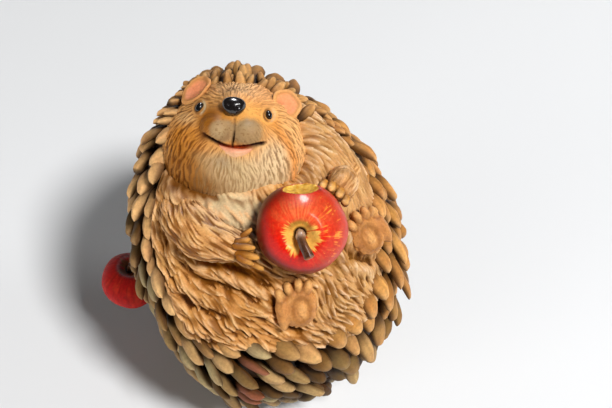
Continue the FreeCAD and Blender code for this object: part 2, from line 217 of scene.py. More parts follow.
def cap_patch(P, keep, centre):
    """Faces of the kept cells of a grid, closed by a cone to a point deep inside."""
    n, m = keep.shape
    idx = np.full((n, m), -1, np.int64)
    q = keep[:-1, :-1] & keep[1:, :-1] & keep[1:, 1:] & keep[:-1, 1:]
    used = np.zeros((n, m), bool)
    used[:-1, :-1] |= q
    used[1:, :-1] |= q
    used[1:, 1:] |= q
    used[:-1, 1:] |= q
    idx[used] = np.arange(used.sum())
    quads = np.stack([idx[:-1, :-1], idx[1:, :-1], idx[1:, 1:], idx[:-1, 1:]], -1)[q]
    e = np.concatenate([quads[:, [0, 1]], quads[:, [1, 2]], quads[:, [2, 3]], quads[:, [3, 0]]])
    key = np.minimum(e[:, 0], e[:, 1]) * (used.sum() + 1) + np.maximum(e[:, 0], e[:, 1])
    _, inv, cnt = np.unique(key, return_inverse=True, return_counts=True)
    rim = e[cnt[inv.ravel()] == 1]
    verts = np.concatenate([P[used], np.asarray(centre, float)[None]])
    tris = np.stack([rim[:, 1], rim[:, 0], np.full(len(rim), len(verts) - 1)], -1)
    return verts, quads, tris, used


# ------------------------------------------------------------------ form of the figure
ZC, C1, C2, BX, BY, KX, KY = 58.6, 64.5, 62.0, 45.2, 46.0, -0.189, 0.20
MID = vec(-1, 1, 60)
FACE = vec(0, -math.sin(math.radians(40)), math.cos(math.radians(40)))
UP = vec(0, math.cos(math.radians(40)), math.sin(math.radians(40)))
SIDE = vec(1, 0, 0)
CAP = vec(0, -math.cos(math.radians(59)), math.sin(math.radians(59)))
CAP_UP = vec(0, math.sin(math.radians(59)), math.cos(math.radians(59)))
EYE = vec(11.37, -276.78, 413.18)
FOCAL = 80.0 / 36.0 * 612


def ramp(d, w=14.0):
    return np.where(d < -w, 0.0, np.where(d > w, d, (d + w) ** 2 / (4 * w)))


def egg(p, off=0.0):
    z = p[..., 2]
    c = np.where(z < ZC, C1, C2)
    d = ramp(z - ZC)
    return (((p[..., 0] - KX * d) / (BX + off)) ** 2 + ((p[..., 1] - KY * d) / (BY + off)) ** 2
            + ((z - ZC) / (c + off)) ** 2) - 1


def egg_hit(v, off=0.0, origin=MID):
    lo = np.zeros(v.shape[:-1])
    hi = lo + 95.0
    for _ in range(26):
        m = (lo + hi) / 2
        ins = egg(origin + v * m[..., None], off) < 0
        lo = np.where(ins, m, lo)
        hi = np.where(ins, hi, m)
    return origin + v * lo[..., None]


def egg_normal(p):
    h = 0.02
    g = [egg(p + np.eye(3)[k] * h) - egg(p - np.eye(3)[k] * h) for k in range(3)]
    return unit(np.stack(g, -1))


def seen(x, y, off=0.0):
    """Point of the egg that shows at picture position x, y."""
    v = unit(-FACE + SIDE * ((x - 306) / FOCAL) + UP * ((204 - y) / FOCAL))
    t = np.linspace(330, 560, 900)
    val = egg(EYE + t[:, None] * v, off)
    if not (val < 0).any():
        return EYE + t[int(np.argmin(val))] * v
    i = int(np.argmax(val < 0))
    a, b = t[i - 1], t[i]
    for _ in range(24):
        m = (a + b) / 2
        if egg(EYE + m * v, off) < 0:
            b = m
        else:
            a = m
    return EYE + b * v


def to_map(p):
    v = unit(p - MID)
    ang = np.arccos(np.clip(dot(v, CAP), -1, 1))
    s = np.sin(ang) + 1e-9
    return ang * dot(v, SIDE) / s, ang * dot(v, CAP_UP) / s


EDGE = [(-172, 53), (-161, 59), (-143, 60), (-124, 50), (-101, 46), (-82, 42), (-70, 40), (-57, 41), (-46, 46), (-36, 50),
        (-22, 53), (-12, 51), (-1, 50), (14, 50), (35, 51), (52, 57), (71, 58), (91, 59), (113, 66), (127, 67), (144, 64), (164, 55)]


def edge(pa):
    """Half-angle of the fur area in the direction pa (degrees)."""
    x = [w[0] for w in EDGE]
    y = [w[1] for w in EDGE]
    x = [x[-1] - 360] + x + [x[0] + 360]
    y = [y[-1]] + y + [y[0]]
    return np.interp(pa, x, y)


# Which way the hair and the quills lie: picture position and angle (0 right, 90 up).
LAY = [(213, 72, 95), (240, 68, 88), (266, 74, 75), (290, 84, 45), (312, 103, 15), (335, 122, -15), (371, 150, -50), (382, 180, -55),
       (390, 209, -57), (400, 244, -62), (398, 285, -62), (390, 322, -58), (170, 100, -140), (150, 130, -150), (143, 160, -125),
       (140, 205, -105), (148, 233, -82), (158, 272, -72), (172, 303, -62), (183, 330, -68), (205, 330, -28), (222, 368, -25),
       (280, 368, -25), (333, 362, -28), (196, 360, -35), (207, 385, -32), (245, 390, -30), (282, 397, -30), (360, 345, -50),
       (240, 215, -45), (175, 205, -68), (192, 208, -58), (195, 230, -62), (215, 240, -45), (165, 220, -76), (170, 250, -84),
       (160, 270, -76), (176, 290, -62), (192, 262, -44), (202, 276, -34), (212, 296, -34), (240, 296, -28), (200, 320, -42),
       (230, 320, -36), (260, 325, -30), (240, 345, -38), (270, 345, -26), (290, 340, -30), (300, 352, -24), (330, 290, -46),
       (350, 280, -48), (340, 320, -40), (370, 290, -55), (320, 332, -34), (360, 320, -50), (380, 260, -60), (362, 182, -52),
       (330, 140, -40), (312, 118, -25), (350, 155, -45), (380, 212, -57), (290, 90, 20), (275, 82, 60), (165, 150, -100),
       (160, 185, -92), (255, 270, -40), (300, 300, -50)]
HIDDEN = [((0, 47, 58), (0, 0.2, -1)), ((-10, 27, 106), (0, 0.8, -0.5)), ((44, 18, 60), (0.1, 0.5, -0.8)),
          ((-45, 22, 60), (-0.1, 0.3, -0.95)), ((0, 36, 20), (0, 0.1, -1)), ((-32, 27, 95), (-0.5, 0.5, -0.6)),
          ((20, 32, 92), (0.4, 0.6, -0.6)), ((38, 30, 40), (0.1, 0.2, -1)), ((-38, 30, 35), (-0.1, 0.2, -1)),
          ((35, 10, 22), (0.1, 0.4, -0.9)), ((-36, 0, 22), (-0.1, -0.1, -1)), ((0, -30, 18), (0.5, 0.1, -0.8)),
          ((-4, 44, 85), (0, 0.5, -0.8))]


def lay_table():
    pts, dirs = [], []
    for x, y, ang in LAY:
        p = seen(x, y, 0.0)
        a = math.radians(ang)
        n = egg_normal(p)
        d = SIDE * math.cos(a) + UP * math.sin(a)
        d = d - FACE * 0.0
        d = d - n * dot(d, n)
        pts.append(p)
        dirs.append(unit(d))
    for p, d in HIDDEN:
        pts.append(vec(*p))
        dirs.append(unit(vec(*d)))
    return np.array(pts), np.array(dirs)


LAY_P, LAY_D = lay_table()


def lay(P, N, spread=5.0):
    out = np.zeros(P.shape)
    for p, d in zip(LAY_P, LAY_D):
        r2 = ((P - p) ** 2).sum(-1)
        out += d * (1.0 / (r2 + spread ** 2) ** 2)[..., None]
    out = out - N * dot(out, N)[..., None]
    return unit(out)


# ------------------------------------------------------------------ materials
def paint(name, rough=(0.42, 0.62), grain=0.5, vary=0.16, bump=0.05, fine=0.25, spec=0.42, coat=0.0, coat_rough=0.2, base=None, tint=None):
    """Painted resin: colour from the piece's own tones, broken up by two noises; satin gloss that varies; fine bump.
    grain: size in mm of the paint's mottling, bump: depth in mm."""
    m = bpy.data.materials.new(name)
    m.use_nodes = True
    nt = m.node_tree
    nd, ln = nt.nodes, nt.links
    nd.clear()
    out = nd.new("ShaderNodeOutputMaterial")
    bs = nd.new("ShaderNodeBsdfPrincipled")
    ln.new(bs.outputs[0], out.inputs[0])
    tc = nd.new("ShaderNodeTexCoord")

    def tex(size, detail=3.0, rough_=0.55):
        t = nd.new("ShaderNodeTexNoise")
        t.inputs["Scale"].default_value = 1.0 / (size * MM)
        t.inputs["Detail"].default_value = detail
        t.inputs["Roughness"].default_value = rough_
        ln.new(tc.outputs["Object"], t.inputs["Vector"])
        return t

    def span(src, lo, hi, a=0.3, b=0.7):
        r = nd.new("ShaderNodeMapRange")
        r.inputs["From Min"].default_value = a
        r.inputs["From Max"].default_value = b
        r.inputs["To Min"].default_value = lo
        r.inputs["To Max"].default_value = hi
        ln.new(src, r.inputs["Value"])
        return r.outputs["Result"]

    def mix(a, b, fac, mode="MIX"):
        x = nd.new("ShaderNodeMix")
        x.data_type = "RGBA"
        x.blend_type = mode
        x.clamp_result = False
        for sock, val in ((x.inputs[0], fac), (x.inputs[6], a), (x.inputs[7], b)):
            if isinstance(val, bpy.types.NodeSocket):
                ln.new(val, sock)
            elif sock == x.inputs[0]:
                sock.default_value = val
            else:
                sock.default_value = (val[0], val[1], val[2], 1.0)
        return x.outputs[2]

    if base is None:
        at = nd.new("ShaderNodeAttribute")
        at.attribute_name = "tone"
        col = at.outputs["Color"]
    else:
        big = tex(6.0 * grain, 2.0)
        col = mix(base, tint if tint is not None else tuple(w * 0.6 for w in base), span(big.outputs["Fac"], 0.0, 1.0))
    n1 = tex(grain, 4.0)
    n2 = tex(grain * 7.0, 2.0)
    g1 = nd.new("ShaderNodeCombineColor")
    s1 = span(n1.outputs["Fac"], 1.0 - vary, 1.0 + vary)
    for k in range(3):
        ln.new(s1, g1.inputs[k])
    g2 = nd.new("ShaderNodeCombineColor")
    s2 = span(n2.outputs["Fac"], 1.0 - vary * 0.7, 1.0 + vary * 0.7)
    s3 = span(n2.outputs["Fac"], 1.0 - vary * 0.2, 1.0 + vary * 0.5)
    ln.new(s3, g2.inputs[0])
    ln.new(s2, g2.inputs[1])
    ln.new(s2, g2.inputs[2])
    col = mix(mix(col, g1.outputs[0], 1.0, "MULTIPLY"), g2.outputs[0], 1.0, "MULTIPLY")
    ln.new(col, bs.inputs["Base Color"])
    ln.new(span(n1.outputs["Fac"], rough[0], rough[1]), bs.inputs["Roughness"])
    b = nd.new("ShaderNodeBump")
    b.inputs["Strength"].default_value = 1.0
    b.inputs["Distance"].default_value = bump * MM
    n3 = tex(fine, 2.0, 0.6)
    ln.new(n3.outputs["Fac"], b.inputs["Height"])
    ln.new(b.outputs["Normal"], bs.inputs["Normal"])
    bs.inputs["Specular IOR Level"].default_value = spec
    if coat:
        bs.inputs["Coat Weight"].default_value = coat
        bs.inputs["Coat Roughness"].default_value = coat_rough
    return m


MAT = {
    "fur": paint("painted_fur", rough=(0.42, 0.62), grain=0.6, vary=0.13, bump=0.05, fine=0.22, spec=0.14),
    "face": paint("painted_face", rough=(0.42, 0.60), grain=0.5, vary=0.09, bump=0.03, fine=0.2, spec=0.16),
    "ear": paint("painted_ear", rough=(0.42, 0.6), grain=0.7, vary=0.12, bump=0.04, fine=0.25, spec=0.2),
    "paw": paint("painted_paw", rough=(0.36, 0.55), grain=0.6, vary=0.16, bump=0.04, fine=0.25, spec=0.22),
    "quill": paint("painted_quill", rough=(0.46, 0.68), grain=0.9, vary=0.18, bump=0.06, fine=0.3, spec=0.14),
    "bed": paint("painted_bed", rough=(0.55, 0.75), grain=1.2, vary=0.22, bump=0.1, fine=0.5, spec=0.3),
    "apple": paint("painted_apple", rough=(0.32, 0.44), grain=0.8, vary=0.14, bump=0.03, fine=0.4, spec=0.13, coat=0.20, coat_rough=0.13),
    "apple_matt": paint("painted_apple_matt", rough=(0.5, 0.65), grain=0.8, vary=0.16, bump=0.03, fine=0.4, spec=0.12),
    "stem": paint("painted_stem", rough=(0.25, 0.42), grain=0.6, vary=0.22, bump=0.06, fine=0.3, spec=0.5, coat=0.3, coat_rough=0.15),
    "gloss": paint("black_gloss", rough=(0.16, 0.26), grain=0.8, vary=0.1, bump=0.004, fine=0.5, spec=0.6, coat=0.5, coat_rough=0.12),
    "lip": paint("painted_lip", rough=(0.34, 0.48), grain=0.6, vary=0.10, bump=0.02, fine=0.3, spec=0.42),
    "felt": paint("green_felt", rough=(0.9, 1.0), grain=0.5, vary=0.25, bump=0.12, fine=0.12, spec=0.15,
                  base=tuple(srgb(92, 104, 86)), tint=tuple(srgb(70, 82, 66))),
    "plug": paint("cast_plug", rough=(0.5, 0.7), grain=1.5, vary=0.1, bump=0.05, fine=0.4, spec=0.35,
                  base=tuple(srgb(150, 128, 100)), tint=tuple(srgb(122, 102, 76))),
    "dowel": paint("beech_dowel", rough=(0.5, 0.7), grain=0.8, vary=0.2, bump=0.05, fine=0.3, spec=0.3,
                   base=tuple(srgb(205, 172, 128)), tint=tuple(srgb(178, 140, 96))),
}


def piece(ob, mat, slot, *nodes):
    ob.data.materials.clear()
    ob.data.materials.append(MAT[mat])
    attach(ob, "root")
    if nodes:
        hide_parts(*nodes)
    return ob


TAN = srgb(194, 140, 78)
LIGHT = srgb(219, 176, 125)
DARK = srgb(92, 46, 2)
DEEP = srgb(46, 22, 4)
CREAM = srgb(212, 190, 148)
ORANGE = srgb(206, 132, 62)


# ------------------------------------------------------------------ sculpted hair on a curved patch
def metric(P):
    """Step vectors of a grid of points, mm per cell."""
    return np.gradient(P, axis=0), np.gradient(P, axis=1)


def flow_cells(P, D):
    """Cells per mm when moving along D."""
    pu, pv = metric(P)
    a, b, c = dot(pu, pu), dot(pu, pv), dot(pv, pv)
    du, dv = dot(pu, D), dot(pv, D)
    det = a * c - b * b + 1e-9
    x = (c * du - b * dv) / det
    y = (a * dv - b * du) / det
    s = np.sqrt(a * x * x + 2 * b * x * y + c * y * y) + 1e-9
    return x / s, y / s


def sow(P, keep, gap, seed):
    """Scattered grid cells at least gap(P) mm apart."""
    rng = np.random.default_rng(seed)
    ii, jj = np.nonzero(keep)
    order = rng.permutation(len(ii))
    pts = P[ii, jj]
    chosen = []
    taken = {}
    for k in order:
        p = pts[k]
        g = gap[ii[k], jj[k]]
        c = (int(p[0] // 4), int(p[1] // 4), int(p[2] // 4))
        ok = True
        for dx in (-1, 0, 1):
            for dy in (-1, 0, 1):
                for dz in (-1, 0, 1):
                    for q in taken.get((c[0] + dx, c[1] + dy, c[2] + dz), ()):
                        if (p[0] - q[0]) ** 2 + (p[1] - q[1]) ** 2 + (p[2] - q[2]) ** 2 < g * g:
                            ok = False
                            break
                    if not ok:
                        break
                if not ok:
                    break
            if not ok:
                break
        if ok:
            taken.setdefault(c, []).append(p)
            chosen.append((ii[k], jj[k]))
    return chosen


def tufts(P, N, D, spots, length, width, height, seed, ridges=3.0):
    """Overlapping locks: each rises towards its tip and drops off there."""
    rng = np.random.default_rng(seed)
    H = np.zeros(P.shape[:2])
    pu, pv = metric(P)
    for (i, j) in spots:
        L = length[i, j] * rng.uniform(0.75, 1.3)
        W = width[i, j] * rng.uniform(0.75, 1.25)
        h = height[i, j] * rng.uniform(0.6, 1.25)
        cell = min(np.linalg.norm(pu[i, j]), np.linalg.norm(pv[i, j])) + 1e-9
        w = int(L * 0.75 / cell) + 2
        a0, a1 = max(0, i - w), min(P.shape[0], i + w + 1)
        b0, b1 = max(0, j - w), min(P.shape[1], j + w + 1)
        d = D[i, j]
        turn = rng.uniform(-0.28, 0.28)
        e = np.cross(N[i, j], d)
        d = d * math.cos(turn) + e * math.sin(turn)
        e = np.cross(N[i, j], d)
        q = P[a0:a1, b0:b1] - P[i, j]
        s = dot(q, d) / L + 0.5
        bend = rng.uniform(-0.5, 0.5) * W
        t = dot(q, e) - bend * (s - 0.3) ** 2 * 2.0
        ss = np.clip(s, 0, 1)
        half = 0.5 * W * (0.55 + 0.75 * ss) * np.clip(1 - ss ** 2.4, 0, 1) ** 0.62 + 1e-4
        x = t / half
        inside = (s > 0) & (s < 1) & (np.abs(x) < 1)
        phase = rng.uniform(0, 6.28)
        comb = np.abs(np.cos(0.5 * ridges * math.pi * x + phase + 0.8 * ss)) ** 0.8
        z = h * (0.10 + 0.90 * ss ** 1.2) * np.clip(1 - np.abs(x) ** 2.2, 0, 1) ** 0.8 * (0.52 + 0.48 * comb)
        z = np.where(inside, z + rng.uniform(0, 0.25) * h, 0)
        H[a0:a1, b0:b1] = np.maximum(H[a0:a1, b0:b1], z)
    return H


def near_line(a, b, line):
    """Distance and position along a polyline in map coordinates (mm)."""
    best = np.full(a.shape, 1e9)
    for (x0, y0), (x1, y1) in zip(line[:-1], line[1:]):
        dx, dy = x1 - x0, y1 - y0
        t = np.clip(((a - x0) * dx + (b - y0) * dy) / (dx * dx + dy * dy + 1e-9), 0, 1)
        best = np.minimum(best, np.hypot(a - x0 - t * dx, b - y0 - t * dy))
    return best


def map_line(points):
    out = []
    for x, y in points:
        a, b = to_map(seen(x, y, -1.0))
        out.append((float(a) * 52.0, float(b) * 52.0))
    return out


HEAD = vec(-10.2, 7.9, 104.3)
t7 = math.radians(7)
HX = SIDE * math.cos(t7) - UP * math.sin(t7)
HY = UP * math.cos(t7) + SIDE * math.sin(t7)
HZ = FACE


def head_point(x, y, z):
    return HEAD + HX * x + HY * y + HZ * z


APPLE = vec(10.6, -28.4, 105.0)


def at_apple(x, up, out):
    return APPLE + SIDE * x + UP * up + FACE * out


def body_fur():
    step = 0.0054
    amax = 1.27
    n = int(2 * amax / step)
    g = np.linspace(-amax, amax, n)
    A, B = np.meshgrid(g, g, indexing="ij")
    ang = np.hypot(A, B) + 1e-9
    v = CAP * np.cos(ang)[..., None] + (SIDE * (A / ang)[..., None] + CAP_UP * (B / ang)[..., None]) * np.sin(ang)[..., None]
    pa = np.degrees(np.arctan2(A, B))
    lim = np.radians(edge(pa) + 3.5)
    keep = ang < lim
    # the part that is deep inside the head is left out
    P = egg_hit(v, -1.6)
    N = egg_normal(P)
    rh = P - HEAD
    hx, hy, hz = dot(rh, HX), dot(rh, HY), dot(rh, HZ)
    ring = np.where(hz > 0, np.hypot(hx / 20.6, (hy + 0.3) / 18.0), 9.0)
    keep &= ring > 0.66
    D = lay(P, N)
    # hair waves a little as it lies
    wav = (noise(P, 9.0, 3) - 0.5) * 1.1 + (noise(P, 4.0, 4) - 0.5) * 0.5
    E = np.cross(N, D)
    D = D * np.cos(wav)[..., None] + E * np.sin(wav)[..., None]
    fu, fv = flow_cells(P, D)
    a, b = A * 52, B * 52
    # where things are seen from the front
    rel = P - EYE
    dep = -dot(rel, FACE)
    px = 306 + FOCAL * dot(rel, SIDE) / dep
    py = 204 - FOCAL * dot(rel, UP) / dep
    calm = ease(295, 345, px) * ease(300, 200, py)            # plainer hair beside the head
    right = ease(300, 350, px)
    lefty = ease(265, 215, px) * ease(235, 275, py)
    chest = np.clip(1.25 * np.exp(-((px - 228) / 33) ** 2 - ((py - 213) / 19) ** 2), 0, 1)
    rimward = ease(np.radians(edge(pa) - 10.0), np.radians(edge(pa) - 3.0), ang) * ease(290, 330, py)
    # folds of long hair on its right side; their grooves are also darkened as painted shade
    crease_a = map_line([(183, 243), (196, 256), (210, 263), (225, 264), (240, 270), (255, 279), (268, 286)])
    crease_b = map_line([(184, 264), (192, 275), (204, 281), (218, 284), (235, 290), (258, 299)])
    crease_c = map_line([(184, 297), (192, 306), (206, 312), (224, 318)])
    crease_d = map_line([(196, 336), (215, 345), (240, 352), (262, 354)])
    crease_e = map_line([(272, 298), (284, 316), (300, 332)])
    crease_f = map_line([(163, 205), (160, 222), (166, 240)])
    crease_g = map_line([(345, 244), (352, 256), (372, 262)])
    crease_h = map_line([(185, 214), (200, 219), (216, 221), (240, 232)])
    low = (noise(P, 13.0, 8) - 0.5) * 1.0 + (noise(P, 7.0, 9) - 0.5) * 0.5
    base = low * (1 - 0.6 * calm)
    deep = np.zeros_like(base)
    for line, depth, wide in ((crease_a, 1.9, 2.0), (crease_b, 1.6, 1.8), (crease_c, 1.5, 1.8), (crease_d, 1.0, 1.4),
                              (crease_e, 1.7, 1.8), (crease_f, 1.2, 1.6), (crease_g, 1.5, 1.8), (crease_h, 0.8, 1.1)):
        d = near_line(a, b, line) + (noise(P, 3.0, 21) - 0.5) * 1.4
        g_ = np.exp(-(d / wide) ** 2)
        base -= depth * g_
        deep = np.maximum(deep, g_ * min(1.0, depth / 2.6))
        base += 0.9 * np.exp(-((d - 4.6) / 2.4) ** 2)
    # hollow under the held apple, darkened there as painted shade
    pit = to_map(seen(262, 275, -1.0))
    d = np.hypot(a - float(pit[0]) * 52, b - float(pit[1]) * 52)
    base -= 1.5 * np.exp(-(d / 4.6) ** 2)
    deep = np.maximum(deep, 0.6 * np.exp(-(d / 4.6) ** 2))
    # the hair dips to meet the head all round
    base -= 5.2 * (1 - 0.6 * ease(-6, -13, hy) * ease(200, 235, px)) * np.exp(-(np.clip(ring - 1.0, 0, 9) / 0.17) ** 2) + 9.0 * np.clip(0.93 - ring, 0, 1)
    under_chin = np.exp(-((ring - 1.02) / 0.07) ** 2) * ease(-6, -12, hy)
    size_gap = 2.15 - 0.3 * calm - 0.3 * chest + 0.2 * lefty + 1.1 * rimward
    spots = sow(P, keep, size_gap, 5)
    length = 8.0 - 3.0 * calm - 3.6 * chest + 2.4 * lefty - 0.8 * right
    width = 2.15 - 0.4 * calm - 0.7 * chest + 0.4 * lefty + 2.0 * rimward
    height = (0.95 - 0.50 * calm - 0.62 * chest + 0.35 * lefty - 0.10 * right + 0.5 * rimward) * (0.25 + 0.75 * ease(0.98, 1.18, ring))
    H1 = tufts(P, N, D, spots, length, width, height, 11, ridges=2.0)
    cell = 52 * step
    fine = strands(dotted(P.shape[:2], 0.30 / cell, 31), fu, fv, 6.0, 0.3)
    mid = strands(dotted(P.shape[:2], 0.65 / cell, 32), fu, fv, 9.0, 0.4)
    fine = np.tanh(fine * 0.9)
    mid = np.tanh(mid * 0.9)
    H = base + H1 + fine * (0.22 - 0.08 * calm) + mid * (0.26 - 0.12 * calm)
    # the border sinks under the quills
    out = ease(np.radians(edge(pa) - 1.0), lim, ang)
    H = H - 4.0 * out
    Q = P + N * H[..., None]
    cav1 = H - blur(H, 0.9 / cell)
    cav2 = H - blur(H, 2.6 / cell)
    # darker in hollows and creases, lighter on raised hair: partly the figure's brown wash and dry-brushed paint,
    # partly painted shade and painted highlight
    dark = ease(0.02, -0.42, cav1) * 0.75 + ease(-0.15, -1.1, cav2) * 0.7
    dark = np.clip(dark + deep * 0.42 * ease(0.30, 0.9, deep), 0, 1)
    lit = ease(0.05, 0.40, cav1) * 0.8 + ease(0.1, 0.9, cav2) * 0.35
    blot = noise(P, 6.0, 41)
    col = mixc(np.broadcast_to(TAN, P.shape), srgb(188, 132, 72), ease(0.35, 0.8, blot) * 0.7)
    col = mixc(col, CREAM, np.clip(chest * 1.7, 0, 0.95))
    col = mixc(col, LIGHT, np.clip(lit * (0.75 + 0.25 * chest), 0, 1))
    col = mixc(col, srgb(150, 96, 40), np.clip(dark * 1.3, 0, 1) * (1 - 0.45 * calm) * (1 - 0.92 * chest))
    col = mixc(col, DARK, np.clip(dark * 1.5 - 0.45, 0, 1) * (1 - 0.55 * calm) * (1 - 0.95 * chest))
    col = mixc(col, srgb(66, 34, 6), np.clip(dark * 2.0 - 1.35, 0, 0.85) * (1 - 0.5 * calm) * (1 - 0.9 * chest))
    # painted shade: broad brown darkening under the arm, below the held apple and down the folds, with loose blotches
    # of brown paint
    brown_wash_and_shade = 1.15 * np.exp(-(((px - 214) * 0.94 + (py - 262) * 0.34) / 32) ** 2 - ((-(px - 214) * 0.34 + (py - 262) * 0.94) / 7) ** 2)
    brown_wash_and_shade = brown_wash_and_shade + 0.9 * np.exp(-((px - 252) / 17) ** 2 - ((py - 272) / 10) ** 2) + 0.7 * np.exp(-((px - 186) / 10) ** 2 - ((py - 250) / 10) ** 2)
    brown_wash_and_shade = brown_wash_and_shade + 0.6 * np.exp(-((px - 235) / 26) ** 2 - ((py - 294) / 5) ** 2) + 0.5 * np.exp(-((px - 330) / 16) ** 2 - ((py - 262) / 12) ** 2)
    brown_wash_and_shade = np.clip(brown_wash_and_shade + 0.55 * ease(0.50, 0.80, noise(P, 5.0, 43)) * (1 - 0.7 * calm) * (1 - chest), 0, 1)
    col = mixc(col, srgb(142, 86, 20), brown_wash_and_shade * (0.85 - 0.55 * lit) * (1 - chest))
    # thin dark lines between the strands, partly brown paint and partly painted shade; raised strands a little lighter,
    # a painted highlight
    line_ = np.clip(-fine - 0.25, 0, 1) * (1 - 0.5 * calm)
    col = mixc(col, srgb(130, 76, 18), np.clip(line_ * 1.1, 0, 0.8) * (1 - 0.75 * chest))
    col = np.clip(col * (1 + 0.10 * fine)[..., None], 0, 1)
    # painted shade on the fur just under the chin
    col = mixc(col, srgb(140, 92, 42), under_chin * 0.45 * ease(250, 205, px))
    # dark brown at the left below the head: partly brown paint, partly painted shade under the cheek
    col = mixc(col, srgb(100, 58, 14), np.clip(np.exp(-((px - 170) / 27) ** 2 - ((py - 182) / 12) ** 2) * 1.5, 0, 0.94) * (1 - 0.35 * lit))
    # painted light: paler, cooler tone towards the right, where the lamp falls
    col = mixc(col, col * vec(0.93, 1.06, 1.36), ease(282, 330, px))
    col = mixc(col, DEEP, out * 0.85)
    verts, quads, tris, used = cap_patch(Q, keep, MID)
    tone = np.concatenate([col[used], DEEP[None]])
    ob = build("body_fur", verts, quads, tris, {"tone": tone})
    piece(ob, "fur", "fur", "body_casting")


def body_bed():
    n, m = 90, 160
    al = np.linspace(0.02, math.pi - 0.02, n)
    ph = np.linspace(0, 2 * math.pi, m, endpoint=False)
    A, Fi = np.meshgrid(al, ph, indexing="ij")
    v = np.stack([np.sin(A) * np.cos(Fi), np.sin(A) * np.sin(Fi), np.cos(A)], -1)
    away = np.degrees(np.arccos(np.clip(dot(v, CAP), -1, 1)))
    towards = np.degrees(np.arctan2(dot(v, SIDE), dot(v, CAP_UP)))
    P = egg_hit(v, -5.6 - 5.0 * ease(0.0, -8.0, away - edge(towards)))
    low = ease(16.0, 6.0, P[..., 2])
    P = P * (1 - low)[..., None] + egg_hit(v, -1.2) * low[..., None]
    N = egg_normal(P)
    P = P + N * ((noise(P, 5.0, 51) - 0.5) * 1.4)[..., None]
    # flat underside
    P[..., 2] = np.maximum(P[..., 2], 1.55)
    dk = noise(P, 4.0, 52)
    col = mixc(np.broadcast_to(srgb(66, 42, 20), P.shape), srgb(40, 24, 10), dk)
    verts, quads, tris = closed_rings(P)
    tone = np.concatenate([col.reshape(-1, 3), srgb(60, 40, 20)[None], srgb(60, 40, 20)[None]])
    ob = build("body_bed", verts, quads, tris, {"tone": tone})
    piece(ob, "bed", "fur", "body_casting")


# ------------------------------------------------------------------ quills
SIDEAPPLE = vec(-49.3, 5.6, 35.6)
KEEP_OUT = [(HEAD, 20.5), (SIDEAPPLE, 10.6), (vec(29.6, -14.6, 86.6), 8.0), (vec(8.8, -36.8, 80.0), 8.0)]


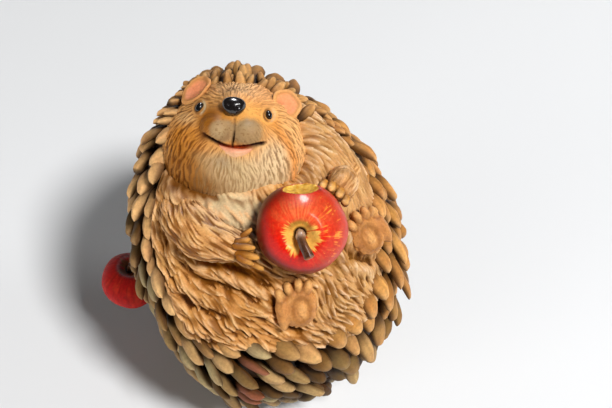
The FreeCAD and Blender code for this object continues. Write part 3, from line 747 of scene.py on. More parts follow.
def quills():
    # candidate places on the egg
    n = 60000
    k = np.arange(n) + 0.5
    z = 1 - 2 * k / n
    fi = k * math.pi * (3 - math.sqrt(5))
    v = np.stack([np.sqrt(1 - z * z) * np.cos(fi), np.sqrt(1 - z * z) * np.sin(fi), z], -1)
    P = egg_hit(v, 0.0)
    ang = np.degrees(np.arccos(np.clip(dot(v, CAP), -1, 1)))
    pa = np.degrees(np.arctan2(dot(v, SIDE), dot(v, CAP_UP)))
    over = ang - edge(pa)
    N = egg_normal(P)
    ok = (over > 0.8) & (P[:, 2] > 7.0)
    foot_row = np.nonzero((over > 0.8) & (P[:, 2] > 3.6) & (P[:, 2] <= 7.0))[0]
    lowP, lowN, low_over, low_pa, low_ang = P[foot_row], N[foot_row], over[foot_row], pa[foot_row], ang[foot_row]
    P, N, over, pa, ang = P[ok], N[ok], over[ok], pa[ok], ang[ok]
    # the first row stands along the fur's border, the others behind it
    rng = np.random.default_rng(77)
    order = np.argsort(over + rng.uniform(0, 5.0, len(over)))
    gap = np.where((over < 10) & (np.abs(pa) < 46), 3.2, np.where(over < 6, 6.2, 7.9))
    taken, chosen = {}, []
    for i in order:
        p = P[i]
        g = gap[i]
        c = (int(p[0] // 7), int(p[1] // 7), int(p[2] // 7))
        ok = True
        for dx in (-1, 0, 1):
            for dy in (-1, 0, 1):
                for dz in (-1, 0, 1):
                    for q in taken.get((c[0] + dx, c[1] + dy, c[2] + dz), ()):
                        if ((p - q) ** 2).sum() < g * g:
                            ok = False
        if ok:
            taken.setdefault(c, []).append(p)
            chosen.append(i)
    idx = np.array(chosen)
    # the lowest row closes the gap above the pad
    row = []
    for i in np.argsort(lowP[:, 2]):
        p = lowP[i]
        if all(((p - lowP[j]) ** 2).sum() > 5.6 ** 2 for j in row):
            row.append(i)
    row = np.array(row)
    tipP, N = np.concatenate([P[idx], lowP[row]]), np.concatenate([N[idx], lowN[row]])
    over, pa, ang = np.concatenate([over[idx], low_over[row]]), np.concatenate([pa[idx], low_pa[row]]), np.concatenate([ang[idx], low_ang[row]])
    idx = np.arange(len(tipP))
    D = lay(tipP, N, 7.0)
    turn = rng.normal(0, 0.20, len(idx))
    D = D * np.cos(turn)[:, None] + np.cross(N, D) * np.sin(turn)[:, None]
    L = rng.uniform(12.5, 17.5, len(idx)) * np.where(tipP[:, 2] < 16, 0.8, 1.0) * np.where((np.abs(pa) < 46) & (over < 10), 0.66, 1.0)
    W = rng.uniform(4.8, 7.4, len(idx)) * np.where((np.abs(pa) < 46) & (over < 10), 0.52, 1.0)
    T = rng.uniform(1.5, 2.4, len(idx)) * np.where((np.abs(pa) < 46) & (over < 10), 0.7, 1.0)
    # tip: on the outer form; root: back along the lay, in the bed
    top_row = (np.abs(pa) < 46) & (over < 10)
    rel = tipP - EYE
    dep = -dot(rel, FACE)
    tx, ty = 306 + FOCAL * dot(rel, SIDE) / dep, 204 - FOCAL * dot(rel, UP) / dep
    r_in = np.interp(ty, [66, 76, 86, 96, 108, 120, 132, 144, 156, 170, 182, 192, 204, 216, 228, 240, 252, 266, 276, 324, 336, 350, 384, 400],
                     [0, 2.4, 5.8, 5.4, 5.8, 5.6, 2.0, 4.6, 1.0, 3.4, 3.4, 5.6, 0.4, 0.4, 4.6, 0.2, 4.2, 2.2, 0.4, 2.0, 3.8, -0.6, 1.8, 3.4])
    l_in = np.interp(ty, [66, 76, 84, 96, 108, 120, 132, 144, 156, 168, 180, 192, 204, 216, 228, 240, 300, 312, 324, 336, 348, 360, 372, 384, 396],
                     [0, 0.4, 2.2, 2.4, 3.4, 3.2, 5.0, 4.8, 0.6, 6.0, 6.0, 5.2, 0, 3.2, 4.0, 0.8, 1.5, 3.0, 5.8, 6.0, 6.0, 1.2, 5.4, 2.0, 0.2])
    tuck = np.where(tx > 262, r_in, l_in) * ease(0.55, 0.20, dot(N, FACE)) * ease(-0.75, -0.35, dot(N, FACE)) + 1.3 * (tx < 234) * ease(76, 68, ty) + 1.6 * (tx > 248) * ease(80, 70, ty)
    lifted = egg_hit(unit(tipP - MID), np.where(top_row, 1.0 - rng.uniform(0.0, 1.8, len(idx)), 1.9 - rng.uniform(0.0, 3.2, len(idx))) - tuck)
    rim = ease(0.62, 0.35, dot(N, FACE)) * ease(-0.75, -0.35, dot(N, FACE)) * (1 - top_row)
    spike = rng.uniform(0, 1, len(idx)) < 0.40
    stand = rim * np.where(spike, 2.1, -0.7) * ease(3.0, 12.0, tipP[:, 2]) * np.where(tipP[:, 0] < -40, 0.4, 1.0) * ease(66, 96, ty) * (1 - 0.7 * ease(345, 365, ty)) * np.where(tx < 262, 0.35, 1.0)
    root = lifted - D * (L * 0.93)[:, None]
    root = egg_hit(unit(root - MID), -6.2)
    tip = lifted + N * stand[:, None] + D * (np.clip(stand, 0, 9) * 0.5)[:, None]
    for c, r in KEEP_OUT:
        d = np.linalg.norm(tip - c, axis=-1)
        bad = d < r
        tip = np.where(bad[:, None], tip * 0 + 1e6, tip)
    good = (tip[:, 0] < 1e5) & (root[:, 2] > 4.0) & (tip[:, 2] > 2.4)
    tip, root, N, W, T, pa, ang, over = tip[good], root[good], N[good], W[good], T[good], pa[good], ang[good], over[good]
    cnt = len(tip)
    S, K = ((17, 18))
    s = np.linspace(0, 1, S) ** 0.92
    fi = np.linspace(0, 2 * math.pi, K, endpoint=False)
    wide = np.interp(s, [0, 0.2, 0.45, 0.68, 0.82, 0.91, 0.97, 1.0], [0.42, 0.76, 1.0, 0.97, 0.78, 0.56, 0.32, 0.09])
    thick = np.interp(s, [0, 0.3, 0.7, 0.88, 0.96, 1.0], [0.7, 1.0, 0.95, 0.72, 0.45, 0.12])
    mid = (root + tip) / 2 + N * rng.uniform(1.4, 2.4, cnt)[:, None]
    C = (root[:, None] * ((1 - s) ** 2)[None, :, None] + 2 * mid[:, None] * (s * (1 - s))[None, :, None]
         + tip[:, None] * (s ** 2)[None, :, None])
    Tn = unit(np.gradient(C, axis=1))
    Sd = unit(np.cross(Tn, N[:, None]))
    swerve = rng.uniform(-0.9, 0.9, cnt)
    C = C + Sd * (swerve[:, None] * (s ** 2)[None])[..., None]
    Tn = unit(np.gradient(C, axis=1))
    roll = rng.uniform(-0.30, 0.30, cnt)
    Sd = unit(np.cross(Tn, N[:, None]))
    Up = np.cross(Sd, Tn)
    Up = Up * np.sign(dot(Up, np.broadcast_to(N[:, None], Up.shape)))[..., None]
    Sd2 = Sd * np.cos(roll)[:, None, None] + Up * np.sin(roll)[:, None, None]
    Up2 = Up * np.cos(roll)[:, None, None] - Sd * np.sin(roll)[:, None, None]
    x = np.cos(fi)
    y = np.sin(fi)
    top = np.clip(y, 0, 1)
    phase = rng.uniform(0, 6.28, cnt)
    groove = 0.5 + 0.5 * np.cos(4.2 * math.pi * x[None] * 0.5 + phase[:, None])       # (cnt, K)
    lump = 1 + 0.10 * np.sin(s[None, :] * 9.0 + phase[:, None])
    zz = np.where(y > 0, top ** 0.8 * (1.0 + 0.20 * (1 - np.abs(x)) ** 1.5), y * 0.55)
    h = T[:, None, None] * thick[None, :, None] * zz[None, None, :] * lump[:, :, None]
    h = h - (0.11 * (1 - groove)[:, None, :] * top[None, None, :] * np.sin(math.pi * np.clip(s, 0.02, 0.95))[None, :, None] ** 0.7)
    wv = (W / 2)[:, None, None] * wide[None, :, None] * x[None, None, :] * (1 + 0.05 * np.sin(s * 14)[None, :, None])
    V = C[:, :, None] + Sd2[:, :, None] * wv[..., None] + Up2[:, :, None] * h[..., None]
    # colour: tan above, darker and olive below, partly paint and partly painted shade; dark roots and undersides and
    # darker middles, brown wash with painted shade where the quills overlap; lighter crests, partly a painted
    # highlight; dark grooves and edges, pale worn tips
    zc = C[:, :, 2]
    # darker, olive quills low down, at the front left and in the lowest and lower left rows: partly their paint, partly
    # painted shade
    zone = ease(58, 26, tip[:, 2] + 12 * (noise(tip, 9.0, 61) - 0.5))
    front_left = ease(0, -30, tip[:, 0]) * ease(75, 45, tip[:, 2])
    zone = np.clip(zone + 0.25 * front_left, 0, 1)
    rel = tip - EYE
    dep = -dot(rel, FACE)
    tx, ty = 306 + FOCAL * dot(rel, SIDE) / dep, 204 - FOCAL * dot(rel, UP) / dep
    near = (dep < 475)
    jig = 22 * (noise(tip, 7.0, 62) - 0.5)
    zone = np.maximum(zone, near * ease(338, 380, ty + jig) * ease(410, 385, tx))
    zone = np.maximum(zone, near * ease(272, 292, ty + jig) * ease(192, 178, tx))
    rnd = rng.uniform(0, 1, cnt)
    b1 = mixc(np.broadcast_to(srgb(208, 156, 94), (cnt, 3)), srgb(158, 110, 54), rnd)
    b2 = mixc(np.broadcast_to(srgb(180, 149, 100), (cnt, 3)), srgb(124, 100, 58), ease(0.1, 0.65, rnd))
    b2 = mixc(b2, srgb(74, 54, 26), ease(0.7, 0.95, rnd))
    bcol = mixc(b1, b2, zone * 0.95)
    left_lit = ease(194, 176, tx) * ease(95, 120, ty) * ease(348, 326, ty) * (dep < 476) * (1 - 0.8 * (ty > 228) * (tx < np.interp(ty, [228, 245, 262, 290, 310, 330, 345], [136, 145, 149, 156, 163, 168, 171])))
    bcol = mixc(bcol, srgb(232, 184, 124), left_lit * (0.50 + 0.45 * rnd))
    # near-black quills along the outer left rim: partly dark paint, partly painted shade behind the rim
    outer = (dep < 480) & (ty > 228) & (ty < 345) & (tx < np.interp(ty, [228, 245, 262, 290, 310, 330, 345], [136, 145, 149, 156, 163, 168, 171]))
    bcol = np.where((outer & (rnd < 0.70))[:, None], srgb(86, 66, 36), bcol)
    sunny = (dep < 480) * ease(318, 345, tx) * ease(350, 330, ty)
    bcol = mixc(bcol, bcol * vec(1.04, 0.96, 0.80), sunny)
    grey = (rng.uniform(0, 1, cnt) > 0.92) & (zone > 0.5)
    bcol = np.where(grey[:, None], srgb(164, 146, 104), bcol)
    pink = ((np.hypot((tx - 261) / 9, (ty - 376) / 12) < 1) | (np.hypot((tx - 262) / 6, (ty - 402) / 7) < 1)) & (dep < 460)
    bcol = np.where(pink[:, None], srgb(142, 84, 60), bcol)
    col = np.broadcast_to(bcol[:, None, None], V.shape).copy()
    tipc = mixc(srgb(218, 176, 122) * np.ones((cnt, 3)), bcol * 1.35, zone)
    w_tip = ease(0.62, 0.97, s)[None, :, None] * (0.45 + 0.4 * rnd)[:, None, None] * np.ones((1, 1, K))
    col = mixc(col, np.broadcast_to(tipc[:, None, None], V.shape), w_tip)
    # lighter along the top of each quill: partly dry-brushed paint, partly painted highlight
    crest = (top ** 2 * (0.4 + 0.6 * groove[:, None, :].repeat(S, 1)))
    col = mixc(col, np.broadcast_to((bcol * 1.22)[:, None, None], V.shape), np.clip(crest * 0.5, 0, 1))
    gd = (1 - groove)[:, None, :] * top[None, None, :] * np.ones((1, S, 1))
    col = mixc(col, srgb(104, 66, 26), np.clip(gd * 0.32, 0, 1))
    # darker middles and near-black roots where the quills overlap: partly brown wash, partly painted shade
    w_mid = ease(0.88, 0.34, s)[None, :, None] * (0.55 + 0.45 * rnd)[:, None, None] * np.ones((cnt, 1, K))
    col = mixc(col, np.broadcast_to((bcol * 0.42)[:, None, None], V.shape), w_mid * (0.72 - 0.38 * sunny)[:, None, None])
    w_root = ease(0.58, 0.16, s)[None, :, None] * np.ones((cnt, 1, K))
    col = mixc(col, srgb(48, 28, 8), np.clip(w_root * 0.98, 0, 1))
    # painted shade on the underside of each quill
    w_under = (np.clip(-y, 0, 1) ** 0.5)[None, None, :] * np.ones((cnt, S, 1))
    col = mixc(col, srgb(56, 34, 14), np.clip(w_under * 0.85, 0, 1))
    w_side = (np.abs(x) ** 5)[None, None, :] * np.ones((cnt, S, 1))
    col = mixc(col, srgb(66, 38, 10), np.clip(w_side * 0.9, 0, 1))
    black = (np.hypot(tx - 166, ty - 101) < 8) | (np.hypot(tx - 147, ty - 132) < 8) | (np.hypot(tx - 131, ty - 172) < 9)
    w_blk = ease(0.80, 0.92, s)[None, :, None] * black[:, None, None] * np.ones((1, 1, K))
    col = mixc(col, srgb(34, 24, 16), w_blk * 0.9)
    group = np.where(root[:, 2] < 30, 4, np.where((np.abs(pa) < 42) & (ang < 84), 0, np.where(root[:, 1] > 22, 1, np.where(root[:, 0] > 0, 2, 3))))
    names = ["quills_crown", "quills_back", "quills_left_flank", "quills_right_flank", "quills_skirt"]
    V = V.reshape(cnt, S * K, 3)
    col = col.reshape(cnt, S * K, 3)
    one = ring_faces(S, K)
    i = np.arange(K)
    j = (i + 1) % K
    lo_cap = np.stack([np.full(K, S * K), j, i], -1)
    hi_cap = np.stack([np.full(K, S * K + 1), (S - 1) * K + i, (S - 1) * K + j], -1)
    caps = np.concatenate([lo_cap, hi_cap])
    ends = np.stack([C[:, 0], C[:, -1] + Tn[:, -1] * 0.25], 1)
    V = np.concatenate([V, ends], 1)
    col = np.concatenate([col, col[:, :1], col[:, -1:]], 1)
    per = S * K + 2
    for gi, name in enumerate(names):
        sel = np.nonzero(group == gi)[0]
        m = len(sel)
        if m == 0:
            continue
        off = (np.arange(m) * per)[:, None, None]
        quads = (one[None] + off).reshape(-1, 4)
        tris = (caps[None] + off).reshape(-1, 3)
        ob = build(name + "_scales", V[sel].reshape(-1, 3), quads, tris, {"tone": col[sel].reshape(-1, 3)})
        piece(ob, "quill", "quill", name)
        print(name, m)


# ------------------------------------------------------------------ head
def ell(q, c, r):
    c, r = np.array(c, float), np.array(r, float)
    p = (q - c) / r
    k0 = np.linalg.norm(p, axis=-1)
    k1 = np.linalg.norm(p / r, axis=-1) + 1e-9
    return k0 * (k0 - 1) / k1


def smin(a, b, k):
    h = np.clip(0.5 + 0.5 * (b - a) / k, 0, 1)
    return b * (1 - h) + a * h - k * h * (1 - h)


def mouth_y(x):
    return -2.7 + 0.030 * (x - 0.6) ** 2


def head_form(q):
    d = ell(q, (0, 0, 0), (20.9, 18.3, 18.2))
    d = smin(d, ell(q, (-12.2, -4.6, 6.0), (9.2, 9.6, 9.8)), 4.0)
    d = smin(d, ell(q, (12.4, -4.8, 6.3), (9.2, 9.6, 9.9)), 4.0)
    d = smin(d, ell(q, (0.5, -8.6, 4.8), (17.8, 12.6, 13.4)), 3.0)
    d = smin(d, ell(q, (-10.5, -10.4, 3.4), (9.6, 8.6, 10.6)), 3.0)
    d = smin(d, ell(q, (-0.2, 5.0, 11.6), (9.4, 6.6, 8.6)), 2.6)
    d = smin(d, ell(q, (-0.2, 10.2, 12.4), (4.6, 4.6, 6.4)), 3.0)
    d = smin(d, ell(q, (0.5, -5.6, 13.2), (6.6, 4.4, 5.0)), 2.4)
    pads = smin(ell(q, (-4.9, 2.3, 14.9), (5.3, 4.8, 6.6)), ell(q, (4.3, 2.0, 15.1), (5.7, 5.1, 6.9)), 0.45)
    d = smin(d, pads, 0.8)
    # sockets of the eyes
    for cx, cy in ((-11.2, 8.0), (9.6, 8.2)):
        d = -smin(-d, ell(q, (cx, cy, 15.6), (1.7, 2.1, 1.5)), 0.8)
    return d


def radial(form, v, far, near, coarse=0.5):
    """Outermost point of a form along rays from its middle."""
    t = np.full(v.shape[:-1], near)
    found = np.zeros(v.shape[:-1], bool)
    r = far
    while r > near:
        ins = (form(v * r) < 0) & ~found
        t = np.where(ins, r, t)
        found |= ins
        r -= coarse
    lo, hi = t, t + coarse
    for _ in range(9):
        m = (lo + hi) / 2
        ins = form(v * m[..., None]) < 0
        lo = np.where(ins, m, lo)
        hi = np.where(ins, hi, m)
    return v * lo[..., None]


def grid_normal(P):
    pu, pv = metric(P)
    n = unit(np.cross(pu, pv))
    return n * np.sign(dot(n, P).mean())


def spot(x, y, cx, cy, rx, ry):
    return np.exp(-((x - cx) / rx) ** 2 - ((y - cy) / ry) ** 2)


def head():
    n = 344
    amax = 1.98
    g = np.linspace(-1, 1, n)
    A, B = np.meshgrid(g, g, indexing="ij")
    rr_ = np.hypot(A, B) + 1e-9
    ang = amax * (rr_ + 0.9 * rr_ ** 3) / 1.9          # closer rows on the face
    v = np.stack([A / rr_ * np.sin(ang), B / rr_ * np.sin(ang), np.cos(ang)], -1)
    keep = rr_ < 1.0
    v = np.where((rr_ > 1.02)[..., None], vec(0, 0, -1), v)
    Q = radial(head_form, v, 30.0, 9.0, 0.6)
    N = grid_normal(Q)
    x, y, z = Q[..., 0], Q[..., 1], Q[..., 2]
    nose = vec(-0.6, 8.6, 20.0)
    D = Q - nose
    down = ease(1.0, -6.0, y) * ease(24, 8, np.abs(x))
    D = unit(D) * (1 - 0.75 * down)[..., None] + vec(0.12, -1, -0.3) * (down * 0.9)[..., None]
    cheek = ease(8, 15, np.abs(x)) * ease(9, 2, y)
    D = D + np.stack([0 * x, -1.1 * cheek, -0.2 * cheek], -1)
    D = unit(D - N * dot(D, N)[..., None])
    wav = (noise(Q, 3.6, 71) - 0.5) * 1.0 * (0.25 + 0.6 * down) + (noise(Q, 7.0, 72) - 0.5) * 0.5
    E = np.cross(N, D)
    D = D * np.cos(wav)[..., None] + E * np.sin(wav)[..., None]
    fu, fv = flow_cells(Q, D)
    cell = 0.16
    fine = np.tanh(strands(noise(Q, 0.30, 81), fu, fv, 3.8, 0.13) * 1.6)
    long_ = np.tanh(strands(noise(Q, 0.44, 82), fu, fv, 3.6, 0.2) * 1.2)
    # smooth places: muzzle, round the nose and the eyes
    bare = np.clip(spot(x, y, 0.0, 3.0, 9.2, 6.6) * 1.35 * ease(8, 12, z), 0, 1)
    bare = np.clip(bare + spot(x, y, 0, 8.4, 4.6, 3.4), 0, 1)
    for cx, cy in ((-11.2, 8.0), (9.6, 8.2)):
        bare = np.clip(bare + 0.9 * spot(x, y, cx, cy, 2.6, 2.4) * (z > 5), 0, 1)
    throat = ease(-3.5, -8.0, y) * (z > -6)
    amp = (1 - 0.88 * bare)
    H = fine * 0.15 * amp * (1 - 0.45 * throat) + long_ * amp * (0.04 + 0.07 * throat + 0.10 * cheek)
    front = ease(4, 9, z)
    # mouth, with the ends turned up
    dm = y - mouth_y(x)
    win = ease(-9.6, -8.3, x) * ease(10.4, 8.6, x) * front
    H -= 1.15 * np.exp(-(dm / 0.40) ** 2) * win
    # groove from the nose to the mouth
    win2 = ease(-3.2, -2.0, y) * ease(7.0, 5.0, y) * front
    H -= (0.35 + 0.55 * ease(2.6, 0.6, y)) * np.exp(-((x - 0.05) / 0.36) ** 2) * win2
    # lid folds above the eyes
    for cx, cy in ((-11.2, 8.0), (9.6, 8.2)):
        rr = np.hypot(x - cx, (y - cy) * 0.9)
        H += 0.22 * np.exp(-((rr - 2.2) / 0.5) ** 2) * (z > 4)
    low = (noise(Q, 6.0, 73) - 0.5) * 0.7 * (1 - bare)
    Q2 = Q + N * (H + low)[..., None]
    cav = H - blur(H, 0.55 / cell)
    dark = ease(0.02, -0.12, cav) * (1 - 0.9 * bare)
    lit = ease(0.0, 0.10, cav)
    # tones by place; the browner, darker tones on the left and lower left of the head are partly its paint and partly
    # painted shade on the side away from the lamp
    col = np.broadcast_to(srgb(220, 166, 104), Q.shape)
    col = mixc(col, srgb(178, 128, 72), np.clip(spot(x, y, -10, 11.5, 9, 6) * 0.8, 0, 1) * ease(-2, -8, x + 3))
    col = mixc(col, srgb(222, 156, 98), np.clip(spot(x, y, 6, 13, 7, 5.5) * 0.8, 0, 1))
    col = mixc(col, srgb(232, 190, 140), spot(x, y, 0, 15.5, 6, 3.4) * 0.7)
    col = mixc(col, srgb(178, 112, 38), np.clip(spot(x, y, -14.5, -2.0, 6.5, 8.5) * 1.2, 0, 0.95))
    col = mixc(col, srgb(182, 156, 116), np.clip(throat * 0.95 * ease(-16, -9, x), 0, 1))
    col = mixc(col, srgb(200, 172, 130), ease(2, 12, x) * throat * 0.8)
    col = mixc(col, srgb(210, 182, 140), np.clip(spot(x, y, 12.5, -4.5, 5.6, 5.6) * 1.2, 0, 0.95))
    col = mixc(col, srgb(136, 84, 22), np.clip(spot(x, y, -14.5, -11.5, 7.0, 8.0) * 1.3, 0, 0.95))
    col = mixc(col, srgb(110, 62, 8), np.clip(spot(x, y, -17.0, -15.0, 4.0, 3.6) * 1.2, 0, 0.85))
    col = mixc(col, srgb(150, 98, 42), np.clip(spot(x, y, -13.5, -12.5, 6.5, 5.5) * 1.1, 0, 0.85))
    col = mixc(col, srgb(124, 80, 30), np.clip(spot(x, y, -8.5, -15.4, 7.0, 3.0) * 1.1, 0, 0.8))
    band = np.minimum(np.hypot(x - 12.6, (y - 4.4)), 99)
    line = near_line(x, y, [(10.2, 7.0), (12.6, 4.2), (16.6, 0.2), (19.0, -4.6), (19.4, -9.4)])
    col = mixc(col, srgb(208, 134, 62), np.exp(-(line / 1.7) ** 2) * 0.85 * (z > -8))
    col = mixc(col, srgb(208, 168, 116), np.clip(spot(x, y, -14.6, 4.4, 3.6, 2.0) * 0.9, 0, 0.8))
    # muzzle
    mz = np.clip(spot(x, y, 0.0, 3.6, 9.6, 6.4) * 1.5, 0, 1) * ease(9, 12, z)
    col = mixc(col, srgb(190, 128, 52), mz * 0.92)
    # painted shade: darker brown on the muzzle's left, below the nose
    col = mixc(col, srgb(142, 84, 16), np.clip(spot(x, y, -7.6, 4.6, 3.6, 4.2) * 1.2, 0, 0.92) * ease(8, 11, z))
    col = mixc(col, srgb(222, 158, 82), np.clip(spot(x, y, 6.6, 7.4, 4.2, 3.6) * 1.2, 0, 0.9) * ease(8, 11, z))
    pad = np.clip(spot(x, y, -3.7, 1.6, 3.9, 3.6) + spot(x, y, 4.6, 2.0, 4.8, 4.8), 0, 1) * ease(10, 13, z)
    pe = ease(0.30, 0.66, pad + 0.12 * (noise(Q, 1.2, 77) - 0.5))
    col = mixc(col, srgb(153, 124, 86), pe * 0.95)
    col = mixc(col, srgb(172, 146, 106), (spot(x, y, -4.4, 1.2, 2.2, 2.2) + spot(x, y, 3.6, 4.0, 2.6, 1.8)) * 0.7 * pe)
    col = mixc(col, srgb(112, 74, 34), ease(0.74, 0.84, noise(Q, 0.55, 79)) * mz * 0.45)
    # painted shade on the chin under the lower lip
    col = mixc(col, srgb(150, 128, 98), spot(x, y, -2.2, -7.2, 3.0, 2.4) * 0.7 * ease(8, 12, z))
    # darker in the recesses and lighter on raised strokes: partly the figure's brown wash and dry-brushed paint, partly
    # painted shade and painted highlight
    recess_wash_and_shade = mixc(np.broadcast_to(srgb(98, 52, 8), Q.shape), srgb(146, 114, 72), np.clip(throat * ease(-14, -6, x), 0, 1))
    col = mixc(col, recess_wash_and_shade, np.clip(dark * (0.92 - 0.22 * ease(0, 6, x) - 0.24 * ease(10, 13, y)), 0, 1))
    col = mixc(col, np.clip(col * 1.16, 0, 1), lit * 0.7)
    # mouth line, groove and eye rims: the pale crescent right of each eye is a painted highlight, the dark edge left of
    # it painted shade
    mline = np.exp(-(dm / 0.50) ** 2) * win
    col = mixc(col, srgb(34, 14, 6), np.clip(mline * 1.5, 0, 1))
    mid = spot(x, y, 1.2, -2.7, 3.6, 0.75) * front
    col = mixc(col, srgb(150, 52, 14), np.clip(mid * 1.15, 0, 0.92))
    col = mixc(col, srgb(46, 24, 12), np.exp(-((x - 0.05) / 0.36) ** 2) * win2 * (0.30 + 0.6 * ease(2.6, 0.8, y)))
    col = mixc(col, srgb(96, 50, 14), spot(x, y, -8.9, -0.7, 1.3, 1.6) * 0.8 * front)
    for cx, cy, sgn in ((-11.2, 8.0, 1), (9.6, 8.2, 1)):
        rr = np.hypot(x - cx, (y - cy) * 0.82)
        pale = 0.85 if cx < 0 else 0.30
        col = mixc(col, srgb(224, 202, 160), np.exp(-((rr - 1.65) / 0.38) ** 2) * ease(0.2, 1.0, x - cx) * pale * (z > 4))
        col = mixc(col, srgb(84, 46, 18), np.exp(-((rr - 1.5) / 0.45) ** 2) * ease(0.6, -0.8, x - cx) * 0.75 * (z > 4))
    # painted shade beside the nose on its left
    col = mixc(col, srgb(122, 62, 16), spot(x, y, -4.2, 8.0, 1.7, 1.2) * 0.7 * ease(8, 12, z))
    back = ease(92, 108, np.degrees(ang))
    col = mixc(col, DARK, back * 0.8)
    W = HEAD + Q2[..., :1] * HX + Q2[..., 1:2] * HY + Q2[..., 2:] * HZ
    verts, quads, tris, used = cap_patch(W, keep, HEAD)
    tone = np.concatenate([col[used], DARK[None]])
    ob = build("head_fur", verts, quads, tris, {"tone": tone})
    piece(ob, "face", "face_fur", "head")


def head_front(x, y):
    """Depth of the face at x, y in head axes."""
    r = np.arange(26.0, 4.0, -0.05)
    q = np.stack([np.full_like(r, x), np.full_like(r, y), r], -1)
    ins = head_form(q) < 0
    return float(r[int(np.argmax(ins))])


def world(Q):
    return HEAD + Q[..., :1] * HX + Q[..., 1:2] * HY + Q[..., 2:] * HZ


def ball_grid(n, m):
    al = np.linspace(0.03, math.pi - 0.03, n)
    ph = np.linspace(0, 2 * math.pi, m, endpoint=False)
    A, Fi = np.meshgrid(al, ph, indexing="ij")
    return np.stack([np.sin(A) * np.cos(Fi), np.sin(A) * np.sin(Fi), np.cos(A)], -1)


def nose_and_eyes():
    v = ball_grid(64, 96)
    # nose: broad and rounded above, narrower below, two nostrils
    x, y, z = v[..., 0], v[..., 1], v[..., 2]
    w = 3.5 * (1 + 0.16 * y)
    Q = np.stack([x * w, y * 2.85 + 0.12 * x * x, z * 2.6], -1)
    for sx in (-1, 1):
        d2 = (v[..., 0] - sx * 0.50) ** 2 + (v[..., 1] + 0.10) ** 2 + (v[..., 2] - 0.84) ** 2
        Q = Q - v * (0.34 * np.exp(-d2 / 0.055))[..., None]
        d2 = (v[..., 0] - sx * 0.62) ** 2 + (v[..., 1] - 0.22) ** 2 + (v[..., 2] - 0.75) ** 2
        Q = Q + v * (0.12 * np.exp(-d2 / 0.06))[..., None]
    Q = Q - v * (0.16 * np.exp(-(v[..., 0] / 0.14) ** 2) * ease(0.3, -0.6, v[..., 1]) * (v[..., 2] > 0))[..., None]
    Q = Q + vec(-0.75, 9.1, 20.4)
    col = np.broadcast_to(srgb(20, 16, 15), Q.shape).reshape(-1, 3)
    verts, quads, tris = closed_rings(world(Q))
    ob = build("nose_gloss", verts, quads, tris, {"tone": np.concatenate([col, col[:2]])})
    piece(ob, "gloss", "black_gloss", "nose")
    for name, cx, cy, tilt, rx, ry in (("eye_right", -11.3, 8.0, -0.42, 1.22, 1.72), ("eye_left", 9.5, 8.2, 0.30, 1.12, 1.55)):
        e = ball_grid(28, 40)
        px_, py_ = e[..., 0] * rx, e[..., 1] * ry
        qx = px_ * math.cos(tilt) - py_ * math.sin(tilt)
        qy = px_ * math.sin(tilt) + py_ * math.cos(tilt)
        depth = head_front(cx, cy)
        Q = np.stack([qx + cx, qy + cy, e[..., 2] * 1.35 + depth - 0.25], -1)
        col = np.broadcast_to(srgb(14, 12, 12), Q.shape).reshape(-1, 3)
        verts, quads, tris = closed_rings(world(Q))
        ob = build(name + "_gloss", verts, quads, tris, {"tone": np.concatenate([col, col[:2]])})
        piece(ob, "gloss", "black_gloss", name)


def lip():
    n, m = 44, 28
    xs = np.linspace(-3.9, 6.3, n)
    fi = np.linspace(0, 2 * math.pi, m, endpoint=False)
    u = (xs - 1.2) / 5.1
    half = 1.50 * np.sqrt(np.clip(1 - u ** 2, 0.0009, 1)) ** 1.3
    P = []
    for x, h in zip(xs, half):
        yc = mouth_y(x) - 0.35 - h * 0.95
        zc = head_front(x, yc)
        P.append(np.stack([np.full(m, x), yc + h * np.cos(fi), zc - 0.35 + (0.35 + 0.42 * h) * np.sin(fi) - 0.10 * (np.cos(fi) < 0) * h], -1))
    P = np.array(P)
    P[..., 2] += (noise(P, 1.6, 91) - 0.5) * 0.18
    yy = P[..., 1] - mouth_y(P[..., 0])
    col = mixc(np.broadcast_to(srgb(220, 150, 116), P.shape), srgb(216, 170, 130), ease(-0.8, -2.4, yy))
    col = mixc(col, srgb(150, 60, 28), ease(-0.75, -0.2, yy))
    verts, quads, tris = closed_rings(world(P))
    col = col.reshape(-1, 3)
    ob = build("lower_lip_soft", verts, quads, tris, {"tone": np.concatenate([col, col[:1], col[-1:]])})
    piece(ob, "lip", "lip", "lower_lip")


